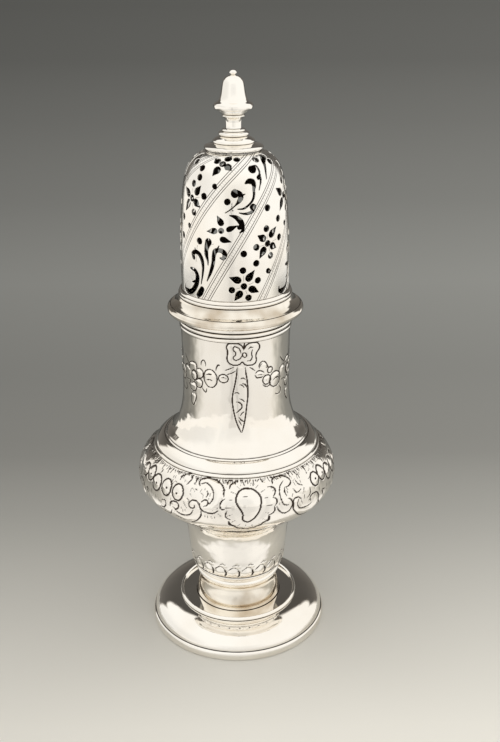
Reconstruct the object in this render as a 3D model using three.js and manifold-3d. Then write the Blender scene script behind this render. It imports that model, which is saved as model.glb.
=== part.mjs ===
// A silver sugar caster: a spreading foot, a baluster body and a high pierced cover with a bell finial.
// Lengths are millimetres, angles are degrees, +Z is up, and the foot stands on z = 0.
// The front of the caster, where one bow and one shell are chased, faces -Y.

import * as THREE from "three";
import { mergeVertices } from "three/addons/utils/BufferGeometryUtils.js";
import Module from "manifold-3d";

const wasm = await Module();
wasm.setup();

// Facets round the axis
const bodyFacets = 32;
const domeFacets = 24;
const finialFacets = 16;

// Silver sheet and the gap between the cover and the body
const sheetWall = 0.8;
const bezelWall = 0.7;
const coverSeatGap = 0.3;
const bezelClearance = 0.25;

// Foot
const footRadius = 33;
const rimWireHeight = 3.4;
const rimWireWidth = 2.8;
const footDomeInset = 0.8;
const footDomeHeight = 6.1;
const collarRadius = 22.9;
const collarWidth = 2;
const collarHeight = 1.7;
const footBoreRadius = 12.6;
const stemFootRadius = 15.9;
const stemWaistRadius = 13.8;
const stemTopRadius = 15.5;
const stemHeight = 10.7;
const stemRingRadius = 16.3;
const stemRingWidth = 2.2;
const stemRingHeight = 1.4;

// Body
const cupBaseRadius = 16.2;
const cupTopRadius = 18.95;
const cupHeight = 17.4;
const cupFloor = 1;
const bulbRadius = 36.1;
const bulbFlareHeight = 23.5;
const bulbTopRadius = 29.7;
const bulbCrownHeight = 10.8;
const shoulderHeight = 4.9;
const shoulderBead = 0.4;
const shoulderWall = 1.6;
const neckBaseRadius = 25.4;
const neckRadius = 18.8;
const neckTopRadius = 19.1;
const neckFlareHeight = 16.8;
const neckHeight = 41;
const mouthWireHeight = 3.6;
const mouthWireBead = 0.5;

// Cover
const bezelDepth = 10.6;
const flangeRadius = 23.5;
const flangeRimHeight = 3.7;
const flangeHeight = 6.7;
const coverWireRadius = 19.6;
const coverWireHeight = 2.4;
const domeBaseRadius = 18.25;
const domeRadius = 18.35;
const domeHeight = 46.1;
const domeCrownRadius = 9.2;
const capRadius = 9.35;
const capHeight = 5.7;
const capTopRadius = 3.9;

// Finial
const spigotRadius = 1.2;
const spigotClearance = 0.3;
const spigotLength = 7.6;
const finialFootRadius = 3.6;
const finialWaistRadius = 2.6;
const finialDiscRadius = 3.75;
const finialStemHeight = 5.3;
const bellRadius = 6.1;
const bellHeight = 12.4;
const buttonRadius = 1.07;
const buttonHeight = 1.6;

// Pierced work: the cover has three pairs of panels, parted by bands that climb round it
const panelPairs = 3;
const firstBandTurn = -32;
const bandTurn = 126;
const bandTurnShares = [0.72, 0.08, 0.2];
const bandTurnPowers = [1, 3, 6];
const cutOverrun = 0.6;
const mergeTolerance = 0.01;
const dotRadius = 0.92;
const petalReach = 5.9;
const petalRadius = 1.1;
const petalSeat = 3.1;
const rosetteDotSeat = 4.8;
const rosetteTilt = 55;
const strokeWidth = 1.3;
const dotSides = 5;
const strokeSteps = 4;

// Outlines, bottom to top, as shares of the way between a piece's named radii and heights
const rimWireShares = [[0, 0], [0.93, 0], [1, 0.3], [1, 0.66], [0.9, 0.92], [0.76, 1], [0, 1]];
const scotiaShares = [[1, 0], [0.52, 0.08], [0.24, 0.2], [0, 0.42]];
const scotiaTopShares = [[0, 0.42], [0.18, 0.65], [0.59, 0.85], [1, 1]];
const cupShares = [[0, 0], [0.36, 0.22], [0.7, 0.55], [0.87, 0.77], [1, 1]];
const flareShares = [
  [0.038, 0.128], [0.131, 0.268], [0.283, 0.396], [0.481, 0.511],
  [0.679, 0.609], [0.843, 0.723], [0.948, 0.851], [1, 1],
];
const crownShares = [[0.06, 0.324], [0.27, 0.602], [0.59, 0.843], [1, 1]];
const shoulderBeadShares = [0, 0.1];
const shoulderSwellShares = [
  [0.176, 0.2], [0.158, 0.26], [0.237, 0.4], [0.29, 0.6], [0.246, 0.8], [0.123, 0.92], [0, 1],
];
const neckFlareShares = [
  [1, 0], [0.64, 0.12], [0.42, 0.24], [0.27, 0.39], [0.15, 0.55], [0.06, 0.76], [0, 1],
];
const neckShaftShares = [[0.17, 0.45], [0.5, 0.8], [1, 1]];
const threeReedShares = [[0, 0], [0.9, 0.17], [0, 0.33], [1, 0.5], [0, 0.67], [1, 0.83], [0, 1]];
const flangeRimShares = [[0, 0], [0.5, 0.04], [0.77, 0.17], [0.96, 0.4], [1, 0.58], [0.95, 0.81], [0.72, 1]];
const flangeCoveShares = [[0.42, 0.12], [0.22, 0.42], [0.08, 0.75], [0, 1]];
const coverWireShares = [[0.75, 0], [1, 0.24], [0.7, 0.46], [0.52, 0.54], [0.6, 0.76], [0.26, 1]];
const domeShares = [
  [1, 0.34], [0.975, 0.473], [0.938, 0.581], [0.896, 0.679], [0.842, 0.766],
  [0.749, 0.846], [0.628, 0.905], [0.47, 0.946], [0.306, 0.974], [0.142, 0.991],
];
const domeRingShares = [0, 0.28, 0.5, 0.62, 0.71, 0.79, 0.86, 0.92, 0.965, 1];
const capShares = [
  [0.94, 0], [1, 0.07], [0.82, 0.19], [0.7, 0.26], [0.58, 0.37],
  [0.55, 0.49], [0.46, 0.66], [0.22, 0.84], [0.16, 0.93], [0, 1],
];
const stemBeadShares = [[0.85, 0], [1, 0.1], [0.75, 0.2], [0, 0.28], [0, 0.6]];
const stemDiscShares = [[0.6, 0.8], [1, 0.94], [0.85, 1]];
const bellShares = [
  [0.54, 0], [0.75, 0.07], [0.95, 0.15], [1, 0.2], [0.98, 0.25], [0.85, 0.29],
  [0.68, 0.34], [0.585, 0.54], [0.52, 0.75], [0.43, 0.855], [0.32, 0.93], [0.12, 1],
];
const buttonShares = [[0.68, 0], [1, 0.36], [0.86, 0.75], [0.4, 0.96]];

// Piercings, as shares of a panel's width from its middle and of the way up the cover
const rosetteShares = [[0.02, 0.11], [0.045, 0.385], [0.045, 0.655], [0.03, 0.88]];
const loneDotShares = [
  [-0.31, 0.325], [-0.31, 0.59], [0.37, 0.2], [0, 0.255], [0.04, 0.525], [0.4, 0.47], [0.09, 0.775],
];
const scrollDotShares = [[-0.19, 0.085], [-0.235, 0.395], [-0.2, 0.66], [0.38, 0.725]];
const flowerShares = [0.045, 0.478];
const flowerTilts = [-15, -107, 100, 205];
const flowerSeatShares = [1, 1, 1, 1.15];
const scrollShares = [
  {
    path: [[-0.2, 0.165], [-0.1, 0.203], [0.05, 0.17], [0.156, 0.075], [0, 0.03], [-0.1, 0.03]],
    width: 1,
  },
  { path: [[0.3, 0.085], [0.27, 0.05], [0.25, 0.03]], width: 1.05 },
  {
    path: [[0.25, 0.1], [0.17, 0.18], [0.06, 0.26], [-0.08, 0.31], [-0.24, 0.32], [-0.2, 0.28]],
    width: 0.9,
  },
  { path: [[0.18, 0.245], [0.05, 0.3], [-0.04, 0.35], [-0.05, 0.39]], width: 0.9 },
  {
    path: [[0.31, 0.165], [0.24, 0.25], [0.17, 0.32], [0.24, 0.352], [0.33, 0.33], [0.35, 0.305]],
    width: 0.85,
  },
  { path: [[0.03, 0.578], [0.14, 0.575], [0.3, 0.54], [0.39, 0.505], [0.38, 0.47]], width: 0.8 },
  { path: [[0.15, 0.597], [0.27, 0.6], [0.36, 0.615], [0.35, 0.635]], width: 0.85 },
  {
    path: [[0.03, 0.61], [0.15, 0.645], [0.2, 0.69], [0.18, 0.74], [0.08, 0.77], [-0.06, 0.775]],
    width: 0.9,
  },
  { path: [[-0.12, 0.6], [-0.05, 0.64], [0, 0.69], [-0.06, 0.725], [-0.16, 0.71]], width: 0.95 },
  { path: [[0.25, 0.74], [0.17, 0.79], [0.08, 0.84], [-0.08, 0.87], [-0.18, 0.85]], width: 0.95 },
  { path: [[0.3, 0.8], [0.2, 0.85], [0.1, 0.9], [0.13, 0.94]], width: 1.05 },
];
const strokeSwellShares = [0.3, 0.8, 1, 1, 0.8];

// Silver as it shows on each kind of piece
const mirrorSilver = { color: 0xeae6dc, roughness: 0.08, metalness: 1 };
const chasedSilver = { color: 0xd9d4c8, roughness: 0.16, metalness: 1 };
const innerSilver = { color: 0xc9c5bc, roughness: 0.28, metalness: 1 };

const { lerp, degToRad } = THREE.MathUtils;
const caster = new THREE.Group();

// A point of an outline: its distance from the axis and its height
function at(radius, height) {
  return new THREE.Vector2(radius, height);
}

// Outline shares laid between two radii and two heights
function spread(shares, [innerRadius, outerRadius], [bottom, top]) {
  return shares.map(([r, z]) => at(lerp(innerRadius, outerRadius, r), lerp(bottom, top, z)));
}

// The inner face of a sheet wall, one wall inside its outline; its ends are cut level or upright
function insideOf(outline, wall, lastEnd = "level") {
  return outline.map((point, index) => {
    const isLast = index === outline.length - 1;
    const before = outline[Math.max(index - 1, 0)];
    const after = outline[isLast ? index : index + 1];
    const along = after.clone().sub(before).normalize();
    const inward = at(-along.y, along.x);
    if (isLast && lastEnd === "upright") return at(point.x, point.y - wall);
    if (isLast || index === 0) return at(point.x + wall / inward.x, point.y);
    return point.clone().addScaledVector(inward, wall);
  });
}

// A closed ring outline from an outer face that runs upwards and an inner face beside it
function sheet(outer, inner) {
  return [...outer, ...inner.slice().reverse()];
}

// A solid turned about the axis; an outline that doesn't touch the axis closes on itself
function turned(outline, facets) {
  const closed = [...outline, outline[0].clone()];
  return new THREE.LatheGeometry(closed, facets).rotateX(Math.PI / 2);
}

// Adds one named piece to the caster
function addPiece(name, geometry, finish) {
  const piece = new THREE.Mesh(geometry, new THREE.MeshStandardMaterial(finish));
  piece.name = name;
  caster.add(piece);
}

// A closed geometry as a solid that can be cut
function solidOf(geometry) {
  const bare = geometry.clone();
  bare.deleteAttribute("normal");
  bare.deleteAttribute("uv");
  const merged = mergeVertices(bare);
  const mesh = new wasm.Mesh({
    numProp: 3,
    vertProperties: new Float32Array(merged.attributes.position.array),
    triVerts: new Uint32Array(merged.index.array),
  });
  return new wasm.Manifold(mesh);
}

// A cut solid as a geometry again
function geometryOf(solid) {
  const mesh = solid.getMesh();
  const geometry = new THREE.BufferGeometry();
  geometry.setAttribute("position", new THREE.BufferAttribute(mesh.vertProperties, 3));
  geometry.setIndex(new THREE.BufferAttribute(mesh.triVerts, 1));
  return geometry;
}

// Foot: a rim wire to stand on, a domed sheet foot, a collar wire on it and a waisted stem
const rimInner = footRadius - rimWireWidth;
const rimTop = rimWireHeight;
const rimWireOutline = spread(rimWireShares, [rimInner, footRadius], [0, rimTop]);
addPiece("foot_rim_wire", turned(rimWireOutline, bodyFacets), mirrorSilver);

const footDomeRadius = footRadius - footDomeInset;
const plateau = rimTop + footDomeHeight;
const ovoloSteps = 5;
const ovolo = [];
for (let step = 0; step < ovoloSteps; step += 1) {
  const turn = degToRad((90 * step) / ovoloSteps);
  const r = lerp(collarRadius, footDomeRadius, Math.cos(turn));
  ovolo.push(at(r, lerp(rimTop, plateau, Math.sin(turn))));
}
const footDomeOutline = [...ovolo, at(collarRadius, plateau), at(footBoreRadius, plateau)];
const footDomeInside = insideOf(footDomeOutline, sheetWall, "upright");
addPiece("foot_dome", turned(sheet(footDomeOutline, footDomeInside), bodyFacets), mirrorSilver);

const collarShares = [[0, 0], [1, 0], [1, 0.45], [0.75, 0.9], [0.5, 1], [0.2, 0.85], [0, 0.4]];
const collarInner = collarRadius - collarWidth;
const collarOutline = spread(collarShares, [collarInner, collarRadius], [plateau, plateau + collarHeight]);
addPiece("foot_collar_wire", turned(collarOutline, bodyFacets), mirrorSilver);

const stemTop = plateau + stemHeight;
const stemOutline = [
  ...spread(scotiaShares, [stemWaistRadius, stemFootRadius], [plateau, stemTop]),
  ...spread(scotiaTopShares, [stemWaistRadius, stemTopRadius], [plateau, stemTop]).slice(1),
];
const stemShell = sheet(stemOutline, insideOf(stemOutline, sheetWall));
addPiece("foot_stem", turned(stemShell, bodyFacets), mirrorSilver);

const ringShares = [[0, 0], [0.8, 0], [1, 0.35], [1, 0.65], [0.85, 1], [0, 1]];
const bodyBase = stemTop + stemRingHeight;
const stemRingInner = stemRingRadius - stemRingWidth;
const stemRingOutline = spread(ringShares, [stemRingInner, stemRingRadius], [stemTop, bodyBase]);
addPiece("stem_ring_wire", turned(stemRingOutline, bodyFacets), mirrorSilver);

// Body: a cup that flares into the bulb, a moulding over the seam, the neck and its mouth wire
const cupTop = bodyBase + cupHeight;
const bulbMiddle = cupTop + bulbFlareHeight;
const bulbTop = bulbMiddle + bulbCrownHeight;
const bulbOutline = [
  ...spread(cupShares, [cupBaseRadius, cupTopRadius], [bodyBase, cupTop]),
  ...spread(flareShares, [cupTopRadius, bulbRadius], [cupTop, bulbMiddle]),
  ...spread(crownShares, [bulbRadius, bulbTopRadius], [bulbMiddle, bulbTop]),
];
const bulbInside = insideOf(bulbOutline, sheetWall).slice(1);
const cupFloorTop = bodyBase + cupFloor;
const cupFloorCorner = at(cupBaseRadius - sheetWall, cupFloorTop);
const cupFloorFace = [cupFloorCorner, at(0, cupFloorTop)];
const bulbRing = [at(0, bodyBase), ...bulbOutline, ...bulbInside.reverse(), ...cupFloorFace];
addPiece("body_bulb", turned(bulbRing, bodyFacets), chasedSilver);

const shoulderTop = bulbTop + shoulderHeight;
const shoulderBeadRadii = [bulbTopRadius, bulbTopRadius + shoulderBead];
const shoulderBeadFace = shoulderBeadShares.map((share, i) => {
  return at(shoulderBeadRadii[i], lerp(bulbTop, shoulderTop, share));
});
const shoulderSwellFace = shoulderSwellShares.map(([swell, share]) => {
  const slope = lerp(bulbTopRadius, neckBaseRadius, share);
  return at(slope + shoulderHeight * swell, lerp(bulbTop, shoulderTop, share));
});
const shoulderFace = [...shoulderBeadFace, ...shoulderSwellFace];
const shoulderInside = [
  at(bulbTopRadius - shoulderWall, bulbTop),
  at(neckBaseRadius - shoulderWall, shoulderTop),
];
addPiece("shoulder_moulding", turned(sheet(shoulderFace, shoulderInside), bodyFacets), mirrorSilver);

const neckTop = shoulderTop + neckHeight;
const neckFlareTop = shoulderTop + neckFlareHeight;
const neckOutline = [
  ...spread(neckFlareShares, [neckRadius, neckBaseRadius], [shoulderTop, neckFlareTop]),
  ...spread(neckShaftShares, [neckRadius, neckTopRadius], [neckFlareTop, neckTop]),
];
const neckShell = sheet(neckOutline, insideOf(neckOutline, sheetWall));
addPiece("body_neck", turned(neckShell, bodyFacets), chasedSilver);

const mouthTop = neckTop + mouthWireHeight;
const mouthBore = neckTopRadius - sheetWall;
const mouthRadii = [neckTopRadius, neckTopRadius + mouthWireBead];
const mouthFace = spread(threeReedShares, mouthRadii, [neckTop, mouthTop]);
const mouthInside = [at(mouthBore, neckTop), at(mouthBore, mouthTop)];
addPiece("mouth_reed_wire", turned(sheet(mouthFace, mouthInside), bodyFacets), mirrorSilver);

// Cover: a bezel that slips into the neck, the flange that rests on the mouth, and the pierced dome
const flangeBottom = mouthTop + coverSeatGap;
const bezelRadius = neckRadius - sheetWall - bezelClearance;
const coverBore = bezelRadius - bezelWall;
const bezelBottom = flangeBottom - bezelDepth;
const bezelFace = [at(bezelRadius, bezelBottom), at(bezelRadius, flangeBottom)];
const bezelInside = [at(coverBore, bezelBottom), at(coverBore, flangeBottom)];
addPiece("cover_bezel", turned(sheet(bezelFace, bezelInside), bodyFacets), innerSilver);

const flangeTop = flangeBottom + flangeHeight;
const flangeRimTop = flangeBottom + flangeRimHeight;
const flangeFace = [
  ...spread(flangeRimShares, [coverWireRadius, flangeRadius], [flangeBottom, flangeRimTop]),
  ...spread(flangeCoveShares, [coverWireRadius, flangeRadius], [flangeRimTop, flangeTop]),
];
const flangeInside = [at(coverBore, flangeBottom), at(coverBore, flangeTop)];
addPiece("cover_flange", turned(sheet(flangeFace, flangeInside), bodyFacets), mirrorSilver);

const domeBottom = flangeTop + coverWireHeight;
const coverWireFace = spread(coverWireShares, [domeBaseRadius, coverWireRadius], [flangeTop, domeBottom]);
const coverWireInside = [at(coverBore, flangeTop), at(coverBore, domeBottom)];
addPiece("cover_reed_wire", turned(sheet(coverWireFace, coverWireInside), bodyFacets), mirrorSilver);

const domeTop = domeBottom + domeHeight;
const domeCurve = new THREE.SplineCurve([
  at(domeBaseRadius, domeBottom),
  ...spread(domeShares, [domeCrownRadius, domeRadius], [domeBottom, domeTop]),
  at(domeCrownRadius, domeTop),
]);
const domeLength = domeCurve.getLength();
const finialBore = spigotRadius + spigotClearance;
const domeFace = domeRingShares.map((share) => domeCurve.getPointAt(share));
const domeOutline = [...domeFace, at(finialBore, domeTop)];
const domeShell = sheet(domeOutline, insideOf(domeOutline, sheetWall, "upright"));

// How far a band has climbed round the cover at a share of the way up it
function bandTurnAt(share) {
  const climb = bandTurnShares.reduce((sum, part, i) => sum + part * share ** bandTurnPowers[i], 0);
  return firstBandTurn + bandTurn * climb;
}

// A place in a panel, as a turn about the axis in radians and a share of the way up
function inPanel(panel, [across, up]) {
  const panelWidth = 360 / (panelPairs * 2);
  return { turn: degToRad(bandTurnAt(up) + panelWidth * (panel + 0.5 + across)), up };
}

// A place moved by small distances over the dome's surface, to the right and upwards
function moved(place, right, upwards) {
  const up = place.up + upwards / domeLength;
  const { x: radius } = domeCurve.getPointAt(THREE.MathUtils.clamp(up, 0, 1));
  return { turn: place.turn + right / radius, up };
}

// A place on the dome as a point in space, some way out from its surface
function onDome({ turn, up }, outwards) {
  const share = THREE.MathUtils.clamp(up, 0, 1);
  const point = domeCurve.getPointAt(share);
  const tangent = domeCurve.getTangentAt(share);
  const radius = point.x + tangent.y * outwards;
  const height = point.y - tangent.x * outwards;
  return new THREE.Vector3(radius * Math.sin(turn), -radius * Math.cos(turn), height);
}

// A cutter that pushes a flat outline, listed anticlockwise, right through the dome's wall
function cutter(places) {
  const count = places.length;
  const mean = (name) => places.reduce((sum, place) => sum + place[name], 0) / count;
  const middle = { turn: mean("turn"), up: mean("up") };
  const outwards = onDome(middle, cutOverrun).sub(onDome(middle, 0));
  const inwards = onDome(middle, -sheetWall - cutOverrun).sub(onDome(middle, 0));
  const outer = places.map((place) => onDome(place, 0).add(outwards));
  const inner = places.map((place) => onDome(place, 0).add(inwards));
  const faces = [];
  const addCaps = (a, b, c) => faces.push(a, b, c, count + c, count + b, count + a);
  for (let low = 0, high = count - 1; high - low > 1; high -= 1) {
    addCaps(low, low + 1, high);
    low += 1;
    if (high - low > 1) addCaps(low, high - 1, high);
  }
  for (let i = 0; i < count; i += 1) {
    const next = (i + 1) % count;
    faces.push(i, count + i, count + next, i, count + next, next);
  }
  const geometry = new THREE.BufferGeometry().setFromPoints([...outer, ...inner]);
  geometry.setIndex(faces);
  return solidOf(geometry);
}

// A round hole
function dot(place, radius) {
  const places = [];
  for (let i = 0; i < dotSides; i += 1) {
    const turn = (2 * Math.PI * i) / dotSides;
    places.push(moved(place, radius * Math.cos(turn), radius * Math.sin(turn)));
  }
  return cutter(places);
}

// A petal-shaped hole: round towards the middle of its flower and pointed outwards
function petal(place, degrees, seat) {
  const along = degToRad(degrees);
  const bodyOutline = [[petalReach - seat, 0], [0, 1], [-0.8, 0.6], [-0.8, -0.6], [0, -1]];
  return cutter(bodyOutline.map(([ahead, aside], i) => {
    const forward = seat + (i === 0 ? ahead : ahead * petalRadius);
    const sideways = aside * petalRadius;
    const right = forward * Math.cos(along) - sideways * Math.sin(along);
    const upwards = forward * Math.sin(along) + sideways * Math.cos(along);
    return moved(place, right, upwards);
  }));
}

// A flower of four petals about a hole, with a hole between each two petals
function rosette(place) {
  const holes = [dot(place, dotRadius)];
  for (let quarter = 0; quarter < 4; quarter += 1) {
    const petalTurn = rosetteTilt + 90 * quarter;
    const dotTurn = degToRad(petalTurn + 45);
    holes.push(petal(place, petalTurn, petalSeat));
    const seat = moved(place, rosetteDotSeat * Math.cos(dotTurn), rosetteDotSeat * Math.sin(dotTurn));
    holes.push(dot(seat, dotRadius));
  }
  return holes;
}

// A long hole that follows a curve, swells along it and starts in a point
function stroke(panel, { path, width }) {
  const curve = new THREE.SplineCurve(path.map(([across, up]) => at(across, up)));
  const places = [];
  for (let step = 0; step <= strokeSteps; step += 1) {
    const { x, y } = curve.getPointAt(step / strokeSteps);
    places.push(inPanel(panel, [x, y]));
  }
  const left = [];
  const right = [];
  places.forEach((place, step) => {
    const before = places[Math.max(step - 1, 0)];
    const after = places[Math.min(step + 1, strokeSteps)];
    const { x: radius } = domeCurve.getPointAt(place.up);
    const along = at((after.turn - before.turn) * radius, (after.up - before.up) * domeLength).normalize();
    const half = 0.5 * strokeWidth * width * strokeSwellShares[step];
    right.push(moved(place, along.y * half, -along.x * half));
    left.push(moved(place, -along.y * half, along.x * half));
  });
  return cutter([...right, ...left.reverse()]);
}

const holes = [];
for (let pair = 0; pair < panelPairs; pair += 1) {
  const flowerPanel = 2 * pair;
  const scrollPanel = flowerPanel - 1;
  for (const shares of rosetteShares) holes.push(...rosette(inPanel(flowerPanel, shares)));
  for (const shares of loneDotShares) holes.push(dot(inPanel(flowerPanel, shares), dotRadius));
  for (const shares of scrollDotShares) holes.push(dot(inPanel(scrollPanel, shares), dotRadius));
  for (const shape of scrollShares) holes.push(stroke(scrollPanel, shape));
  const flower = inPanel(scrollPanel, flowerShares);
  holes.push(dot(flower, dotRadius));
  flowerTilts.forEach((tilt, i) => holes.push(petal(flower, tilt, petalSeat * flowerSeatShares[i])));
}
const piercings = wasm.Manifold.union(holes);
const pierced = solidOf(turned(domeShell, domeFacets)).subtract(piercings);
addPiece("cover_dome", geometryOf(pierced.asOriginal().simplify(mergeTolerance)), chasedSilver);

// Cap and finial: a stepped cap on the crown, a baluster stem pinned through it, a bell and a button
const capTop = domeTop + capHeight;
const capFace = spread(capShares, [capTopRadius, capRadius], [domeTop, capTop]);
const capInside = [at(finialBore, domeTop), at(finialBore, capTop)];
addPiece("cover_cap", turned(sheet(capFace, capInside), finialFacets), mirrorSilver);

const stemTopHeight = capTop + finialStemHeight;
const spigotBottom = capTop - spigotLength;
const finialStem = [
  at(0, spigotBottom),
  at(spigotRadius, spigotBottom),
  at(spigotRadius, capTop),
  ...spread(stemBeadShares, [finialWaistRadius, finialFootRadius], [capTop, stemTopHeight]),
  ...spread(stemDiscShares, [finialWaistRadius, finialDiscRadius], [capTop, stemTopHeight]),
  at(0, stemTopHeight),
];
addPiece("finial_stem", turned(finialStem, finialFacets), mirrorSilver);

const bellTop = stemTopHeight + bellHeight;
const bellFace = spread(bellShares, [0, bellRadius], [stemTopHeight, bellTop]);
const bell = [at(0, stemTopHeight), ...bellFace, at(0, bellTop)];
addPiece("finial_bell", turned(bell, finialFacets), mirrorSilver);

const buttonTop = bellTop + buttonHeight;
const buttonFace = spread(buttonShares, [0, buttonRadius], [bellTop, buttonTop]);
const button = [at(0, bellTop), ...buttonFace, at(0, buttonTop)];
addPiece("finial_button", turned(button, finialFacets), mirrorSilver);

export default caster;
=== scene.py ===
"""Looks of a silver sugar caster with a lift-off pierced cover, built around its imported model.

Sizes are written in millimetres and turns in degrees, as on a workshop drawing, and become metres and
radians where a mesh is made. The caster stands on z = 0 and its front, with one bow and one shell,
faces -Y.
"""

import itertools
import logging
import math
import random
from collections.abc import Mapping, Sequence
from dataclasses import dataclass, field
from enum import Enum
from typing import Any

import bpy
import numpy as np
from mathutils import Matrix, Vector
from mathutils.geometry import delaunay_2d_cdt
from mathutils.kdtree import KDTree


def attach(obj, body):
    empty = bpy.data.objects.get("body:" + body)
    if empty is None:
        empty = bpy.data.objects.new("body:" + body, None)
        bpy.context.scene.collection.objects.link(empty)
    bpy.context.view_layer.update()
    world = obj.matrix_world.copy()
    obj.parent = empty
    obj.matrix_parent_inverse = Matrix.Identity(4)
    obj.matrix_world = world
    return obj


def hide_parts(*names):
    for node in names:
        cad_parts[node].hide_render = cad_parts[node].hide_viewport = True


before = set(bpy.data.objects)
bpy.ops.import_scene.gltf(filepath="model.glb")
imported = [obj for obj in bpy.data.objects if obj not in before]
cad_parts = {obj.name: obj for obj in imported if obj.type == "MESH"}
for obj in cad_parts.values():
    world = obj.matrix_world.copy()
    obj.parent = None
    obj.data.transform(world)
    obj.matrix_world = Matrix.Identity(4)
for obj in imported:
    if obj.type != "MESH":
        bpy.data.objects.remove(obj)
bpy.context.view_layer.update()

MM = 0.001
FULL_TURN = 2 * math.pi
PATINA_AND_SHADE = "patina"
OUTWARD = "outward"
STROKE_VALUES = ("half_width", "rise", "stain")
SIDE = "side"
TOUCHING = 1e-6
CHUNK = 500
INNER_RINGS = 30
FLOOR_SETBACK = 0.35

Point = tuple[float, float]
WidePoint = tuple[float, float, float]
Colour = tuple[float, float, float]
Array = np.ndarray
Thing = bpy.types.Object

log = logging.getLogger("caster")


class Body(Enum):
    """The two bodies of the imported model."""

    CASTER = "caster"
    COVER = "cover"


class Slot(Enum):
    """The record's material slots."""

    MIRROR = "mirror_silver"
    CHASED = "chased_silver"
    INNER = "inner_silver"


class Side(Enum):
    """Which side of a sheet a face lies on."""

    OUTER = 0
    INNER = 1
    EDGE = 2


class Wire:
    """A node's output that takes part in plain arithmetic."""

    def __init__(self, graph: "Graph", socket: bpy.types.NodeSocket) -> None:
        """Keeps the graph and the output socket."""
        self.graph = graph
        self.socket = socket

    def __getitem__(self, name: str) -> "Wire":
        """Another output of the same node."""
        return Wire(self.graph, self.socket.node.outputs[name])

    def __add__(self, other: "Wire | float") -> "Wire":
        """Sum of two values."""
        return self.graph.math("ADD", self, other)

    def __sub__(self, other: "Wire | float") -> "Wire":
        """Difference of two values."""
        return self.graph.math("SUBTRACT", self, other)

    def __rsub__(self, other: float) -> "Wire":
        """Difference from a plain number."""
        return self.graph.math("SUBTRACT", other, self)

    def __mul__(self, other: "Wire | float") -> "Wire":
        """Product of two values."""
        return self.graph.math("MULTIPLY", self, other)

    def __truediv__(self, other: "Wire | float") -> "Wire":
        """Quotient of two values."""
        return self.graph.math("DIVIDE", self, other)

    def __pow__(self, other: "Wire | float") -> "Wire":
        """This value raised to a power."""
        return self.graph.math("POWER", self, other)

    __radd__ = __add__
    __rmul__ = __mul__


class Graph:
    """A node tree that is written as expressions."""

    def __init__(self, tree: bpy.types.NodeTree) -> None:
        """Takes over a tree and empties it."""
        self.tree = tree
        tree.nodes.clear()

    def node(
        self,
        kind: str,
        settings: Mapping[str, Any] | None = None,
        inputs: Mapping[int | str, Any] | None = None,
        output: int | str = 0,
    ) -> Wire:
        """Adds a node.

        Args:
            kind: The node's type name.
            settings: Its properties, set before its sockets; "stops" fills a colour ramp.
            inputs: Values or wires by socket name or place.
            output: The output socket that the wire starts from.

        Returns:
            A wire from that output, or from nowhere if the node has none.
        """
        made = self.tree.nodes.new(kind)
        for name, value in (settings or {}).items():
            if name == "stops":
                self._fill_ramp(made.color_ramp, value)
            else:
                setattr(made, name, value)
        for name, value in (inputs or {}).items():
            if isinstance(value, Wire):
                self.tree.links.new(value.socket, made.inputs[name])
            else:
                made.inputs[name].default_value = value
        return Wire(self, made.outputs[output]) if made.outputs else Wire(self, made.inputs[0])

    @staticmethod
    def _fill_ramp(ramp: bpy.types.ColorRamp, stops: Sequence[tuple[float, Colour]]) -> None:
        """Gives a colour ramp its stops, from left to right."""
        while len(ramp.elements) > 1:
            ramp.elements.remove(ramp.elements[-1])
        for place, (position, colour) in enumerate(stops):
            element = ramp.elements[0] if place == 0 else ramp.elements.new(position)
            element.position = position
            element.color = (*colour, 1)

    def math(self, operation: str, *values: "Wire | float") -> Wire:
        """The result of a Math node on one, two or three values."""
        return self.node("ShaderNodeMath", {"operation": operation}, dict(enumerate(values)))

    def parts(self, vector: Wire) -> Wire:
        """The node that takes a vector apart into X, Y and Z."""
        return self.node("ShaderNodeSeparateXYZ", None, {0: vector})

    def largest(self, *values: "Wire | float") -> Wire:
        """The larger of two values."""
        return self.math("MAXIMUM", *values)

    def stored(self, name: str, kind: str) -> Wire:
        """A value that the mesh carries under a name."""
        return self.node("GeometryNodeInputNamedAttribute", {"data_type": kind}, {"Name": name})

    def blend(self, factor: Wire | float, low: Any, high: Any) -> Wire:
        """Mixes two colours.

        Args:
            factor: 0 gives the low colour and 1 the high one.
            low: A colour or a wire.
            high: A colour or a wire.

        Returns:
            The mixed colour.
        """
        ends = [value if isinstance(value, Wire) else (*value, 1) for value in (low, high)]
        inputs = {0: factor, 6: ends[0], 7: ends[1]}
        return self.node("ShaderNodeMix", {"data_type": "RGBA"}, inputs, output=2)

    def ease(self, value: Wire, low: float, high: float) -> Wire:
        """A smooth step of a value from 0 at low to 1 at high."""
        settings = {"interpolation_type": "SMOOTHSTEP"}
        return self.node("ShaderNodeMapRange", settings, {0: value, 1: low, 2: high})

    def noise(self, coordinates: Wire, scale: float, detail: float = 2.0) -> Wire:
        """Soft noise between 0 and 1 at a scale in patterns per metre."""
        inputs = {"Vector": coordinates, "Scale": scale, "Detail": detail}
        return self.node("ShaderNodeTexNoise", None, inputs)


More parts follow.
